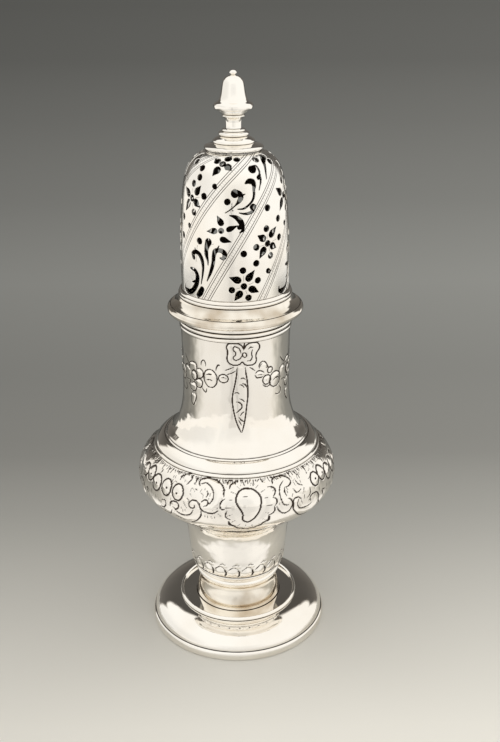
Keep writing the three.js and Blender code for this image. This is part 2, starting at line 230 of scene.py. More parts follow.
@dataclass(frozen=True)
class Silver:
    """One finish of the silver: how bright and how smooth it is, and how dark its tarnish and painted shade
    are.
    """

    name: str
    slot: Slot
    bright: Colour = (0.96, 0.93, 0.875)
    dull: Colour = (0.91, 0.86, 0.785)
    # Dark colour for tarnish, also used for painted shade in creases and inside the dome.
    tarnish_and_shade: Colour = (0.05, 0.036, 0.027)
    roughness: float = 0.045
    haze: float = 0.05
    stain_roughness: float = 0.4
    wobble: float = 0.00022
    wobble_scale: float = 62.0
    streak: float = 0.0
    hairline: float = 0.0000035
    hairline_scale: float = 900.0
    cloud_scale: float = 38.0
    cloud_edge: Point = (0.4, 0.7)
    speck_ratio: float = 12.0
    speck_stain: float = 0.35
    stain_edge: Point = (0.22, 1.0)
    streak_scale: float = 190.0
    hair_stretch: WidePoint = (1.0, 1.0, 7.0)
    streak_stretch: WidePoint = (1.0, 1.0, 0.22)

    def material(self) -> bpy.types.Material:
        """Builds the finish.

        Returns:
            A metal with cloudy polish, hand-raised unevenness, hairline scratches, and darkening in its
            recesses: tarnish, and painted shade.
        """
        found = bpy.data.materials.get(self.name)
        if found:
            return found
        made = bpy.data.materials.new(self.name)
        made.use_nodes = True
        graph = Graph(made.node_tree)
        place = graph.node("ShaderNodeTexCoord", output="Object")
        stain = graph.node("ShaderNodeAttribute", {"attribute_name": PATINA_AND_SHADE}, output="Fac")
        clouds = graph.noise(place, self.cloud_scale, 3.0)
        specks = graph.noise(place, self.cloud_scale * self.speck_ratio, 2.0)
        # Darkens towards the tarnish colour where points are marked: tarnish in chased and engraved lines,
        # tarnish and painted shade in creases, painted shade inside the dome.
        tarnish_and_shade_share = graph.ease(stain + specks * self.speck_stain, *self.stain_edge)
        colour = graph.blend(graph.ease(clouds, *self.cloud_edge), self.bright, self.dull)
        colour = graph.blend(tarnish_and_shade_share, colour, self.tarnish_and_shade)
        roughness = clouds * self.haze + specks * (self.haze * 0.4) + tarnish_and_shade_share * self.stain_roughness
        roughness = roughness + (self.roughness - self.haze * 0.5)
        drawn = graph.node("ShaderNodeMapping", None, {"Vector": place, "Scale": self.hair_stretch})
        hairs = graph.noise(drawn, self.hairline_scale, 1.0)
        uneven = graph.noise(place, self.wobble_scale, 2.2)
        stretched = graph.node("ShaderNodeMapping", None, {"Vector": place, "Scale": self.streak_stretch})
        streaks = graph.noise(stretched, self.streak_scale, 2.0)
        height = uneven * self.wobble + streaks * self.streak + hairs * self.hairline
        bump = graph.node("ShaderNodeBump", None, {"Height": height, "Distance": 1.0, "Strength": 1.0})
        shader = graph.node(
            "ShaderNodeBsdfPrincipled",
            None,
            {"Base Color": colour, "Metallic": 1.0, "Roughness": roughness, "Normal": bump},
        )
        graph.node("ShaderNodeOutputMaterial", None, {"Surface": shader})
        return made


MIRROR = Silver("silver_polished", Slot.MIRROR)
WORN = Silver(
    "silver_worn",
    Slot.MIRROR,
    bright=(0.93, 0.88, 0.79),
    dull=(0.55, 0.46, 0.35),
    roughness=0.075,
    haze=0.09,
    cloud_scale=70.0,
)
CHASED = Silver(
    "silver_chased",
    Slot.CHASED,
    bright=(0.945, 0.91, 0.85),
    roughness=0.055,
    haze=0.06,
    wobble=0.00065,
    wobble_scale=105.0,
    streak=0.00017,
)
DOMED = Silver(
    "silver_pierced",
    Slot.CHASED,
    bright=(0.98, 0.96, 0.915),
    dull=(0.93, 0.885, 0.81),
    roughness=0.15,
    haze=0.1,
)
# The inside of the pierced dome: rough unpolished silver, darkened with painted shade.
INSIDE = Silver(
    "silver_unpolished",
    Slot.INNER,
    bright=(0.2, 0.18, 0.16),
    dull=(0.1, 0.09, 0.08),
    roughness=0.38,
    haze=0.1,
)
SLEEVE = Silver("silver_sleeve", Slot.INNER, bright=(0.8, 0.78, 0.73), roughness=0.22, haze=0.1)


def smooth_line(keys: Sequence[Sequence[float]], spacing: float, closed: bool = False) -> Array:
    """Runs a smooth curve through key points.

    Args:
        keys: Points as (x, y, ...); any further values are carried along the curve.
        spacing: The widest step along the curve.
        closed: Whether the curve comes back to its start, which isn't repeated at the end.

    Returns:
        Points along the curve, one row each.
    """
    row = np.asarray(keys, float)
    if len(row) == 1:
        return row
    if closed:
        row = np.vstack([row[-2:], row, row[:3]])
    chord = np.concatenate([[0], np.cumsum(np.hypot(*np.diff(row[:, :2], axis=0).T))])
    slope = np.gradient(row, chord, axis=0)
    if closed:
        row, slope, chord = row[2:-2], slope[2:-2], chord[2:-2]
    steps = max(1, math.ceil((chord[-1] - chord[0]) / spacing))
    at = np.linspace(chord[0], chord[-1], steps + 1)
    if not closed:
        at = np.unique(np.concatenate([at, chord]))
    span = np.clip(np.searchsorted(chord, at, side="right") - 1, 0, len(chord) - 2)
    length = (chord[span + 1] - chord[span])[:, None]
    t = (at[:, None] - chord[span][:, None]) / length
    low, high = row[span], row[span + 1]
    curve = (
        (2 * t**3 - 3 * t**2 + 1) * low
        + (t**3 - 2 * t**2 + t) * length * slope[span]
        + (3 * t**2 - 2 * t**3) * high
        + (t**3 - t**2) * length * slope[span + 1]
    )
    return curve[:-1] if closed else curve


def arc_lengths(line: Array) -> Array:
    """How far along a line each of its points lies."""
    return np.concatenate([[0], np.cumsum(np.hypot(*np.diff(line[:, :2], axis=0).T))])


def points_at(at: Array, lengths: Array, line: Array) -> Array:
    """The places on a line at some distances along it."""
    return np.stack([np.interp(at, lengths, line[:, axis]) for axis in (0, 1)], axis=1)


def left_of(line: Array) -> Array:
    """Unit vectors to the left of a line at each of its points."""
    along = np.gradient(line[:, :2], axis=0)
    along /= np.maximum(np.hypot(*along.T), 1e-12)[:, None]
    return np.stack([-along[:, 1], along[:, 0]], axis=1)


def raised(level: float, *points: Point) -> list[Point]:
    """Points of an outline, given by their radius and their height over a level."""
    return [(radius, level + height) for radius, height in points]


@dataclass
class Outline:
    """Part of a cross-section, as stretches of key points (radius, height) that meet in corners.

    A stretch of two points is straight and a longer one is a smooth curve. Creases are places on the
    outline that are darkened, each with its strength: tarnish in joins and valleys, with painted shade.
    """

    stretches: Sequence[Sequence[Point]]
    spacing: float = 0.5
    creases: Sequence[WidePoint] = ()
    crease_width: float = 0.2
    crease_reach: float = 1.5

    def line(self) -> tuple[Array, Array]:
        """Works the outline out.

        Returns:
            Its points in millimetres, and how dark each one is, from 0 to 1: tarnish and painted shade.
        """
        parts = [smooth_line(stretch, self.spacing) for stretch in self.stretches]
        points = np.vstack([parts[0], *(part[1:] for part in parts[1:])])
        lengths = arc_lengths(points)
        stops = [lengths]
        centres = []
        for radius, height, strength in self.creases:
            nearest = np.argmin(np.hypot(points[:, 0] - radius, points[:, 1] - height))
            centres.append((lengths[nearest], strength))
            reach = np.linspace(-self.crease_reach, self.crease_reach, 7) * self.crease_width
            stops.append(lengths[nearest] + reach)
        along = np.unique(np.clip(np.round(np.concatenate(stops), 4), 0, lengths[-1]))
        # Crease darkening: tarnish and painted shade in joins and valleys.
        stain = np.zeros(len(along))
        for centre, strength in centres:
            fall = self.crease_reach - np.abs(along - centre) / self.crease_width
            stain = np.maximum(stain, strength * np.clip(fall, 0, 1))
        return points_at(along, lengths, points), stain


@dataclass
class Section:
    """The closed cross-section of a turned piece, as one row for each ring of its mesh."""

    points: Array
    stain: Array
    counts: Array
    skin: Array

    @classmethod
    def solid(cls, outline: Outline, count: int) -> "Section":
        """The section of a solid piece, whose outline closes on itself or on the axis."""
        points, stain = outline.line()
        return cls(points, stain, np.full(len(points), count), np.zeros(len(points)))

    @classmethod
    def sheet(cls, outline: Outline, wall: float, count: int, inner_spacing: float = 1.5) -> "Section":
        """The section of a raised sheet.

        Args:
            outline: Its outer face, from bottom to top.
            wall: The sheet's thickness.
            count: How many points a ring has.
            inner_spacing: The step between rings on the inner face.

        Returns:
            The section, with skin 1 on the rings of the outer face.
        """
        outer, stain = outline.line()
        inner = outer + left_of(outer) * wall
        inner[0, 1], inner[-1, 1] = outer[0, 1], outer[-1, 1]
        lengths = arc_lengths(inner)
        steps = max(1, round(lengths[-1] / inner_spacing))
        inside = points_at(np.linspace(lengths[-1], 0, steps + 1), lengths, inner)
        points = np.vstack([outer, inside])
        plain = np.zeros(len(inside))
        return cls(
            points,
            np.concatenate([stain, plain]),
            np.full(len(points), count),
            np.concatenate([np.ones(len(outer)), plain]),
        )

    def outward(self) -> Array:
        """Unit vectors out of the outer skin, and nothing on the other rings."""
        return -left_of(self.points) * self.skin[:, None]


def lathe(name: str, section: Section, crease_angle: float = 32.0) -> Thing:
    """Turns a closed section about the axis.

    Args:
        name: The piece's name.
        section: Its rings; a ring on the axis becomes one point, and neighbours may differ by a factor 2.
        crease_angle: The angle between faces above which an edge is sharp.

    Returns:
        The piece, linked to the scene.
    """
    corners, stains, outs, starts, counts = [], [], [], [], []
    total = 0
    gaps = np.hypot(*(section.points - np.roll(section.points, 1, axis=0)).T)
    for (radius, height), stain, count, out, gap in zip(
        section.points, section.stain, section.counts, section.outward(), gaps, strict=True
    ):
        if gap < TOUCHING:
            continue
        number = 1 if radius < TOUCHING else int(count)
        turns = FULL_TURN * np.arange(number) / number
        sines, cosines = np.sin(turns), -np.cos(turns)
        level = np.full(number, height)
        corners.append(np.stack([radius * sines, radius * cosines, level], axis=1) * MM)
        outs.append(np.stack([out[0] * sines, out[0] * cosines, np.full(number, out[1])], axis=1))
        stains.append(np.full(number, stain))
        starts.append(total)
        counts.append(number)
        total += number
    faces = []
    rings = len(counts)
    for low in range(rings):
        high = (low + 1) % rings
        faces += band(starts[low], counts[low], starts[high], counts[high])
    mesh = bpy.data.meshes.new(name)
    mesh.from_pydata(np.vstack(corners).tolist(), [], faces)
    # Stores the crease darkening, tarnish with painted shade, on the points.
    write_values(mesh, PATINA_AND_SHADE, "FLOAT", "POINT", np.concatenate(stains))
    if section.skin.any():
        write_values(mesh, OUTWARD, "FLOAT_VECTOR", "POINT", np.vstack(outs))
    mesh.shade_smooth()
    mesh.set_sharp_from_angle(angle=math.radians(crease_angle))
    return linked(name, mesh)


def band(low: int, low_count: int, high: int, high_count: int) -> list[tuple[int, ...]]:
    """Faces between two neighbouring rings.

    Args:
        low: The first ring's first point.
        low_count: How many points it has.
        high: The next ring's first point.
        high_count: How many points it has: as many, twice or half as many, or one on the axis.

    Returns:
        The faces, anticlockwise from outside.
    """
    if low_count == high_count:
        if low_count == 1:
            return []
        at = np.arange(low_count)
        after = (at + 1) % low_count
        return list(zip(low + at, low + after, high + after, high + at, strict=True))
    if low_count == 1 or high_count == 1:
        at = np.arange(max(low_count, high_count))
        after = (at + 1) % len(at)
        if low_count == 1:
            return list(zip(np.full(len(at), low), high + after, high + at, strict=True))
        return list(zip(low + at, low + after, np.full(len(at), high), strict=True))
    at = np.arange(min(low_count, high_count))
    after = (at + 1) % len(at)
    double, middle, beyond = 2 * at, 2 * at + 1, (2 * at + 2) % (2 * len(at))
    if low_count < high_count:
        return [
            *zip(low + at, high + middle, high + double, strict=True),
            *zip(low + at, low + after, high + middle, strict=True),
            *zip(low + after, high + beyond, high + middle, strict=True),
        ]
    return [
        *zip(low + double, low + middle, high + at, strict=True),
        *zip(low + middle, high + after, high + at, strict=True),
        *zip(low + middle, low + beyond, high + after, strict=True),
    ]


def write_values(mesh: bpy.types.Mesh, name: str, kind: str, domain: str, values: Array) -> None:
    """Stores one value for each element of a mesh.

    Args:
        mesh: The mesh.
        name: The attribute's name.
        kind: Its data type.
        domain: POINT or FACE.
        values: The values, one row each.
    """
    attribute = mesh.attributes.new(name, kind, domain)
    key = "vector" if kind == "FLOAT_VECTOR" else "value"
    plain = np.asarray(values, np.int32 if kind == "INT" else np.float32)
    attribute.data.foreach_set(key, plain.ravel())


def linked(name: str, data: bpy.types.ID) -> Thing:
    """Makes an object of some data and links it to the scene."""
    made = bpy.data.objects.new(name, data)
    bpy.context.scene.collection.objects.link(made)
    return made


def outline_curve(name: str, line: Array) -> Thing:
    """Makes a curve in the XZ plane of an outline in millimetres, for node trees to sample."""
    data = bpy.data.curves.new(name, "CURVE")
    data.dimensions = "3D"
    spline = data.splines.new("POLY")
    spline.points.add(len(line) - 1)
    rows = np.zeros((len(line), 4), np.float32)
    rows[:, 0] = line[:, 0] * MM
    rows[:, 2] = line[:, 1] * MM
    rows[:, 3] = 1
    spline.points.foreach_set("co", rows.ravel())
    return linked(name, data)


class RolledWork:
    """Geometry Nodes that roll flat work round an outline and repeat it about the axis.

    Flat work is drawn with its turn about the axis in radians along X, the distance along the outline in
    metres along Y and its height over the surface along Z.
    """

    def __init__(self, name: str, inputs: Sequence[tuple[str, str]]) -> None:
        """Makes an empty tree with named inputs.

        Args:
            name: The tree's name.
            inputs: The name and socket type of each input after the geometry.
        """
        self.tree = bpy.data.node_groups.new(name, "GeometryNodeTree")
        face = self.tree.interface
        face.new_socket("Geometry", in_out="OUTPUT", socket_type="NodeSocketGeometry")
        face.new_socket("Geometry", in_out="INPUT", socket_type="NodeSocketGeometry")
        for label, kind in inputs:
            face.new_socket(label, in_out="INPUT", socket_type=kind)
        self.graph = Graph(self.tree)
        self.given = self.graph.node("NodeGroupInput", output="Geometry")

    def shape_of(self, label: str) -> Wire:
        """The geometry of an object that is an input of the tree."""
        inputs = {"Object": self.given[label]}
        return self.graph.node("GeometryNodeObjectInfo", None, inputs, output="Geometry")

    def roll(self, work: Wire, outline: Wire) -> Wire:
        """Rolls flat work round the outline.

        Args:
            work: The flat work.
            outline: The curve of the outline.

        Returns:
            The work with each point in its place in space.
        """
        graph = self.graph
        flat = graph.parts(graph.node("GeometryNodeInputPosition"))
        sampled = graph.node(
            "GeometryNodeSampleCurve",
            {"mode": "LENGTH"},
            {"Curves": outline, "Length": flat["Y"]},
            output="Position",
        )
        base, along = graph.parts(sampled), graph.parts(sampled["Tangent"])
        radius = base["X"] + along["Z"] * flat["Z"]
        level = base["Z"] - along["X"] * flat["Z"]
        right = radius * graph.math("SINE", flat["X"])
        back = radius * graph.math("COSINE", flat["X"]) * -1.0
        position = graph.node("ShaderNodeCombineXYZ", None, {0: right, 1: back, 2: level})
        return graph.node("GeometryNodeSetPosition", None, {"Geometry": work, "Position": position})

    def repeat(self, work: Wire, times: Wire) -> Wire:
        """Places copies of some work evenly about the axis and makes them real."""
        graph = self.graph
        index = graph.node("GeometryNodeInputIndex")
        turn = index / times * FULL_TURN
        rotation = graph.node("ShaderNodeCombineXYZ", None, {2: turn})
        places = graph.node("GeometryNodeMeshLine", None, {"Count": times, "Offset": (0.0, 0.0, 0.0)})
        copies = graph.node(
            "GeometryNodeInstanceOnPoints", None, {"Points": places, "Instance": work, "Rotation": rotation}
        )
        return graph.node("GeometryNodeRealizeInstances", None, {"Geometry": copies})

    def finish(self, work: Wire, label: str, selection: Wire | None = None) -> Wire:
        """Gives the work the material of an input, on all of it or on a selection."""
        inputs = {"Geometry": work, "Material": self.given[label]}
        if selection:
            inputs["Selection"] = selection
        return self.graph.node("GeometryNodeSetMaterial", None, inputs)

    def close(self, work: Wire) -> None:
        """Leads the finished work out of the tree."""
        self.graph.node("NodeGroupOutput", None, {"Geometry": work})

    def apply(self, piece: Thing, values: Mapping[str, Any]) -> None:
        """Runs the tree on a piece and leaves the result as its plain mesh.

        Args:
            piece: The object that is changed.
            values: The value of each named input.
        """
        modifier = piece.modifiers.new(self.tree.name, "NODES")
        modifier.node_group = self.tree
        for item in self.tree.interface.items_tree:
            if item.in_out == "INPUT" and item.name in values:
                modifier[item.identifier] = values[item.name]
        graph = bpy.context.evaluated_depsgraph_get()
        mesh = bpy.data.meshes.new_from_object(
            piece.evaluated_get(graph), preserve_all_data_layers=True, depsgraph=graph
        )
        piece.modifiers.clear()
        piece.data = mesh
        mesh.name = piece.name


class PiercedTree(RolledWork):
    """Rolls one flat part of the pierced cover, repeats it and closes the seams."""

    def __init__(self) -> None:
        """Builds the tree."""
        super().__init__(
            "roll_pierced_sheet",
            [
                ("Outline", "NodeSocketObject"),
                ("Repeats", "NodeSocketInt"),
                ("Seam", "NodeSocketFloat"),
                ("Face finish", "NodeSocketMaterial"),
                ("Inside finish", "NodeSocketMaterial"),
            ],
        )
        graph = self.graph
        rolled = self.roll(self.given, self.shape_of("Outline"))
        whole = self.repeat(rolled, self.given["Repeats"])
        seamed = graph.node(
            "GeometryNodeMergeByDistance", None, {"Geometry": whole, "Distance": self.given["Seam"]}
        )
        inner = graph.math("COMPARE", graph.stored(SIDE, "INT"), float(Side.INNER.value), 0.1)
        faced = self.finish(seamed, "Face finish")
        self.close(self.finish(faced, "Inside finish", inner))


class ChasingTree(RolledWork):
    """Chases lines and raised forms into a sheet: each point moves by the nearest stroke's profile."""

    stain_reach = 0.55

    def __init__(self) -> None:
        """Builds the tree."""
        super().__init__(
            "chase_sheet",
            [
                ("Outline", "NodeSocketObject"), ("Lines", "NodeSocketObject"),
                ("Forms", "NodeSocketObject"), ("Repeats", "NodeSocketInt"),
                ("Finish", "NodeSocketMaterial"),
            ],
        )
        graph = self.graph
        outline = self.shape_of("Outline")
        cut, _, _ = self.profile("Lines", outline, 2.0)
        near, line_stain, reach = self.profile("Lines", outline, 1.0)
        raised, _, _ = self.profile("Forms", outline, 1.0)
        outward = graph.stored(OUTWARD, "FLOAT_VECTOR")
        offset = graph.node(
            "ShaderNodeVectorMath", {"operation": "SCALE"}, {"Vector": outward, "Scale": raised + cut}
        )
        skin = graph.node("ShaderNodeVectorMath", {"operation": "LENGTH"}, {0: outward}, output="Value")
        gathered = line_stain * skin * graph.ease(reach, 0.0, self.stain_reach)
        darker = graph.largest(graph.stored(PATINA_AND_SHADE, "FLOAT"), gathered)
        stored = graph.node(
            "GeometryNodeStoreNamedAttribute",
            {"data_type": "FLOAT", "domain": "POINT"},
            {"Geometry": self.given, "Name": PATINA_AND_SHADE, "Value": darker},
        )
        moved = graph.node("GeometryNodeSetPosition", None, {"Geometry": stored, "Offset": offset})
        whole = graph.node("GeometryNodeRealizeInstances", None, {"Geometry": moved})
        self.close(self.finish(whole, "Finish"))

    def profile(self, label: str, outline: Wire, power: float) -> tuple[Wire, Wire, Wire]:
        """The nearest stroke's profile at each point of the sheet.

        Args:
            label: The input that holds the strokes.
            outline: The curve that they are rolled round.
            power: How soon the profile falls off towards the stroke's edge.

        Returns:
            How far the stroke lifts the point, its tarnish, and 1 at its middle to 0 at its edge.
        """
        graph = self.graph
        strokes = self.repeat(self.roll(self.shape_of(label), outline), self.given["Repeats"])
        nearest = graph.node("GeometryNodeSampleNearest", None, {"Geometry": strokes})
        place = self.sample(strokes, nearest, "FLOAT_VECTOR", graph.node("GeometryNodeInputPosition"))
        distance = graph.node(
            "ShaderNodeVectorMath",
            {"operation": "DISTANCE"},
            {0: graph.node("GeometryNodeInputPosition"), 1: place},
            output="Value",
        )
        values = {
            name: self.sample(strokes, nearest, "FLOAT", graph.stored(name, "FLOAT"))
            for name in STROKE_VALUES
        }
        share = distance / values["half_width"]
        reach = graph.largest(1.0 - share * share, 0.0)
        return values["rise"] * reach**power, values["stain"], reach

    def sample(self, geometry: Wire, index: Wire, kind: str, value: Wire) -> Wire:
        """A value of one point of some geometry."""
        inputs = {"Geometry": geometry, "Value": value, "Index": index}
        settings = {"data_type": kind, "domain": "POINT"}
        return self.graph.node("GeometryNodeSampleIndex", settings, inputs)


@dataclass(frozen=True)
class Stroke:
    """A chased line or raised form on flat work: points (turn, distance along the outline, width share).

    A negative rise is a groove. Turns are degrees and all lengths millimetres.
    """

    points: Sequence[Sequence[float]]
    width: float = 0.5
    rise: float = -0.13
    stain: float = 1.0
    closed: bool = False
    spacing: float = 0.12
    thinnest: float = 0.05

    def dots(self, outline: Array) -> Array:
        """Lays points along the stroke.

        Args:
            outline: The sheet's outline.

        Returns:
            Rows of turn, distance along, half width, rise and stain, in radians and metres.
        """
        lengths = arc_lengths(outline)
        middle = np.mean([point[1] for point in self.points])
        radius = np.interp(middle, lengths, outline[:, 0])
        keys = [(math.radians(p[0]) * radius, p[1], p[2] if len(p) > 2 else 1.0) for p in self.points]
        line = smooth_line(keys, self.spacing, self.closed)
        row = np.zeros((len(line), 5))
        row[:, 0] = line[:, 0] / radius
        row[:, 1] = line[:, 1] * MM
        row[:, 2] = np.maximum(line[:, 2] * self.width / 2, self.thinnest) * MM
        row[:, 3] = self.rise * np.minimum(line[:, 2], 1.0) * MM
        row[:, 4] = self.stain
        return row


@dataclass(frozen=True)
class Chasing:
    """The strokes of one repeat and how often they repeat round the sheet."""

    lines: Sequence[Stroke]
    forms: Sequence[Stroke]
    repeats: int = 3


def stroke_cloud(name: str, strokes: Sequence[Stroke], outline: Array) -> Thing:
    """Makes the points of strokes as a mesh without faces, for the chasing tree.

    Args:
        name: The object's name.
        strokes: The strokes of one repeat.
        outline: The sheet's outline.

    Returns:
        The object, whose points carry half_width, rise and stain.
    """
    rows = np.vstack([stroke.dots(outline) for stroke in strokes])
    mesh = bpy.data.meshes.new(name)
    flat = np.zeros((len(rows), 3))
    flat[:, :2] = rows[:, :2]
    mesh.from_pydata(flat.tolist(), [], [])
    for place, key in enumerate(STROKE_VALUES, start=2):
        write_values(mesh, key, "FLOAT", "POINT", rows[:, place])
    return linked(name, mesh)


def discard(*objects: Thing) -> None:
    """Removes helper objects."""
    for item in objects:
        bpy.data.objects.remove(item)


def settle(piece: Thing, body: Body, finish: Silver, *nodes: str) -> None:
    """Puts a finished piece in the frame.

    Args:
        piece: The piece, at the origin, with its place in its mesh.
        body: The body that it rides on.
        finish: The finish that it gets if it has no material yet.
        nodes: The CAD nodes that it stands for.
    """
    if not piece.data.materials:
        piece.data.materials.append(finish.material())
    for name in (OUTWARD, SIDE):
        if name in piece.data.attributes:
            piece.data.attributes.remove(piece.data.attributes[name])
    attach(piece, body.value)
    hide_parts(*nodes)
    triangles = sum(len(face.vertices) - 2 for face in piece.data.polygons)
    log.info("%s rides on %s with %d triangles", piece.name, body.value, triangles)


def turn_pieces(body: Body, columns: int, *pieces: tuple[str, Outline, Silver, str]) -> None:
    """Turns solid pieces and puts them in the frame.

    Args:
        body: The body that they ride on.
        columns: How many points a ring has.
        pieces: The name, outline, finish and CAD node of each.
    """
    for name, outline, finish, node in pieces:
        settle(lathe(name, Section.solid(outline, columns)), body, finish, node)


@dataclass
class Foot:
    """The foot: rim wire, domed sheet, collar wire, waisted stem and the ring under the cup."""

    rim_radius: float = 33.0
    rim_top: float = 3.4
    plate_radius: float = 22.3
    plate_top: float = 9.5
    collar_top: float = 10.75
    stem_top: float = 20.2
    ring_top: float = 21.6
    wall: float = 0.8
    columns: int = 256

    def build(self) -> None:
        """Builds and dresses the five pieces."""
        turn_pieces(
            Body.CASTER,
            self.columns,
            ("foot_rim", self.rim_wire(), MIRROR, "foot_rim_wire"),
            ("foot_collar", self.collar_wire(), MIRROR, "foot_collar_wire"),
            ("stem_ring", self.ring_wire(), MIRROR, "stem_ring_wire"),
        )
        sheets = (
            ("foot_plate", self.plate(), MIRROR, "foot_dome"), ("stem", self.stem(), WORN, "foot_stem")
        )
        for name, outline, finish, node in sheets:
            piece = lathe(name, Section.sheet(outline, self.wall, self.columns))
            settle(piece, Body.CASTER, finish, node)

    def rim_wire(self) -> Outline:
        """Outline of the thick wire that the caster stands on."""
        edge, top = self.rim_radius, self.rim_top
        inner = edge - 2.6
        face = [
            (edge - 0.5, 0), (edge - 0.12, 0.3), (edge, 0.9), (edge, 2.2), (edge - 0.2, 2.9),
            (edge - 0.7, top),
        ]
        return Outline(
            [[(inner, 0), face[0]], face, [face[-1], (inner, top)], [(inner, top), (inner, 0)]],
            spacing=0.25,
            creases=[(edge - 0.7, top, 0.9)],
            crease_width=0.16,
        )

    def plate(self) -> Outline:
        """Outline of the domed sheet and its flat middle."""
        foot, crown = self.rim_radius - 0.8, self.plate_radius
        swell = [
            (
                crown + (foot - crown) * math.cos(math.radians(turn)),
                self.rim_top + (self.plate_top - self.rim_top) * math.sin(math.radians(turn)),
            )
            for turn in range(0, 91, 10)
        ]
        return Outline(
            [swell, [(crown, self.plate_top), (12.6, self.plate_top)]],
            creases=[(foot, self.rim_top, 0.7), (crown, self.plate_top, 0.5), (15.9, self.plate_top, 1.0)],
        )

    def collar_wire(self) -> Outline:
        """Outline of the half-round wire round the flat middle."""
        low, top, edge = self.plate_top, self.collar_top, self.plate_radius
        face = [
            *raised(low, (edge - 0.2, 0), (edge, 0.25), (edge - 0.02, 0.6), (edge - 0.25, 0.95)),
            (edge - 0.65, top),
        ]
        back = [(edge - 0.65, top), (edge - 1.05, top - 0.2), (edge - 1.3, low + 0.5), (edge - 1.35, low)]
        return Outline([face, back, [back[-1], face[0]]], spacing=0.2, creases=[(edge - 0.2, low, 1.0)])

    def stem(self) -> Outline:
        """Outline of the waisted stem."""
        keys = [
            (15.9, 9.5), (15.88, 10.4), (15.65, 11.8), (15.25, 13.5), (14.8, 15.2), (14.5, 16.8),
            (14.5, 18.2), (14.9, self.stem_top),
        ]
        return Outline([keys], creases=[(15.9, 9.5, 1.0), (14.9, self.stem_top, 0.9)])

    def ring_wire(self) -> Outline:
        """Outline of the wire between stem and cup."""
        low, top = self.stem_top, self.ring_top
        face = [*raised(low, (14.95, 0), (15.7, 0.22), (15.9, 0.65), (15.8, 1.1)), (15.5, top)]
        return Outline(
            [face, [face[-1], (14.1, top)], [(14.1, top), (14.1, low)], [(14.1, low), face[0]]], spacing=0.2
        )


@dataclass(frozen=True)
class Grade:
    """How finely a stretch of a sheet is meshed, up to a distance along its outline."""

    end: float
    spacing: float
    count: int


def graded(outline: Outline, wall: float, grades: Sequence[Grade], floor: Point | None = None) -> Section:
    """The section of a raised sheet that is finer where it is chased.

    Args:
        outline: Its outer face, from bottom to top.
        wall: The sheet's thickness.
        grades: Its stretches; ring counts differ by a factor 2 from one to the next.
        floor: The heights of the floor's underside and top, if the sheet has a floor.

    Returns:
        The section, with skin 1 on the rings of the outer face.
    """
    points, stain = outline.line()
    lengths = arc_lengths(points)
    rows, counts, start = [], [], 0.0
    for grade in grades:
        end = min(grade.end, lengths[-1])
        steps = max(1, round((end - start) / grade.spacing))
        rows.append(np.linspace(start, end, steps + 1)[:-1])
        counts.append(np.full(steps, grade.count))
        start = end
    at = np.concatenate([*rows, [start]])
    finest = grades[-1].count
    outer = points_at(at, lengths, points)
    inner = outer + left_of(outer) * wall
    inner_lengths = arc_lengths(inner)
    inside = points_at(np.linspace(inner_lengths[-1], 0, INNER_RINGS), inner_lengths, inner)
    inside[0, 1] = outer[-1, 1]
    inner_counts = np.full(len(inside), finest // 4)
    inner_counts[0] = finest // 2
    feet = np.empty((0, 2))
    if floor:
        above = inside[:, 1] > floor[1]
        edge = float(np.interp(floor[1], inner[:, 1], inner[:, 0]))
        feet = np.array([(0.0, floor[0]), (outer[0, 0] - FLOOR_SETBACK, floor[0])])
        inside = np.vstack([inside[above], [(edge, floor[1]), (0.0, floor[1])]])
        inner_counts = np.concatenate([inner_counts[above], [finest // 4, finest // 4]])
    below, plain = np.zeros(len(feet)), np.zeros(len(inside))
    return Section(
        np.vstack([feet, outer, inside]),
        np.concatenate([below, np.interp(at, lengths, stain), plain]),
        np.concatenate([np.full(len(feet), grades[0].count), *counts, [finest], inner_counts]),
        np.concatenate([below, np.ones(len(outer)), plain]),
    )


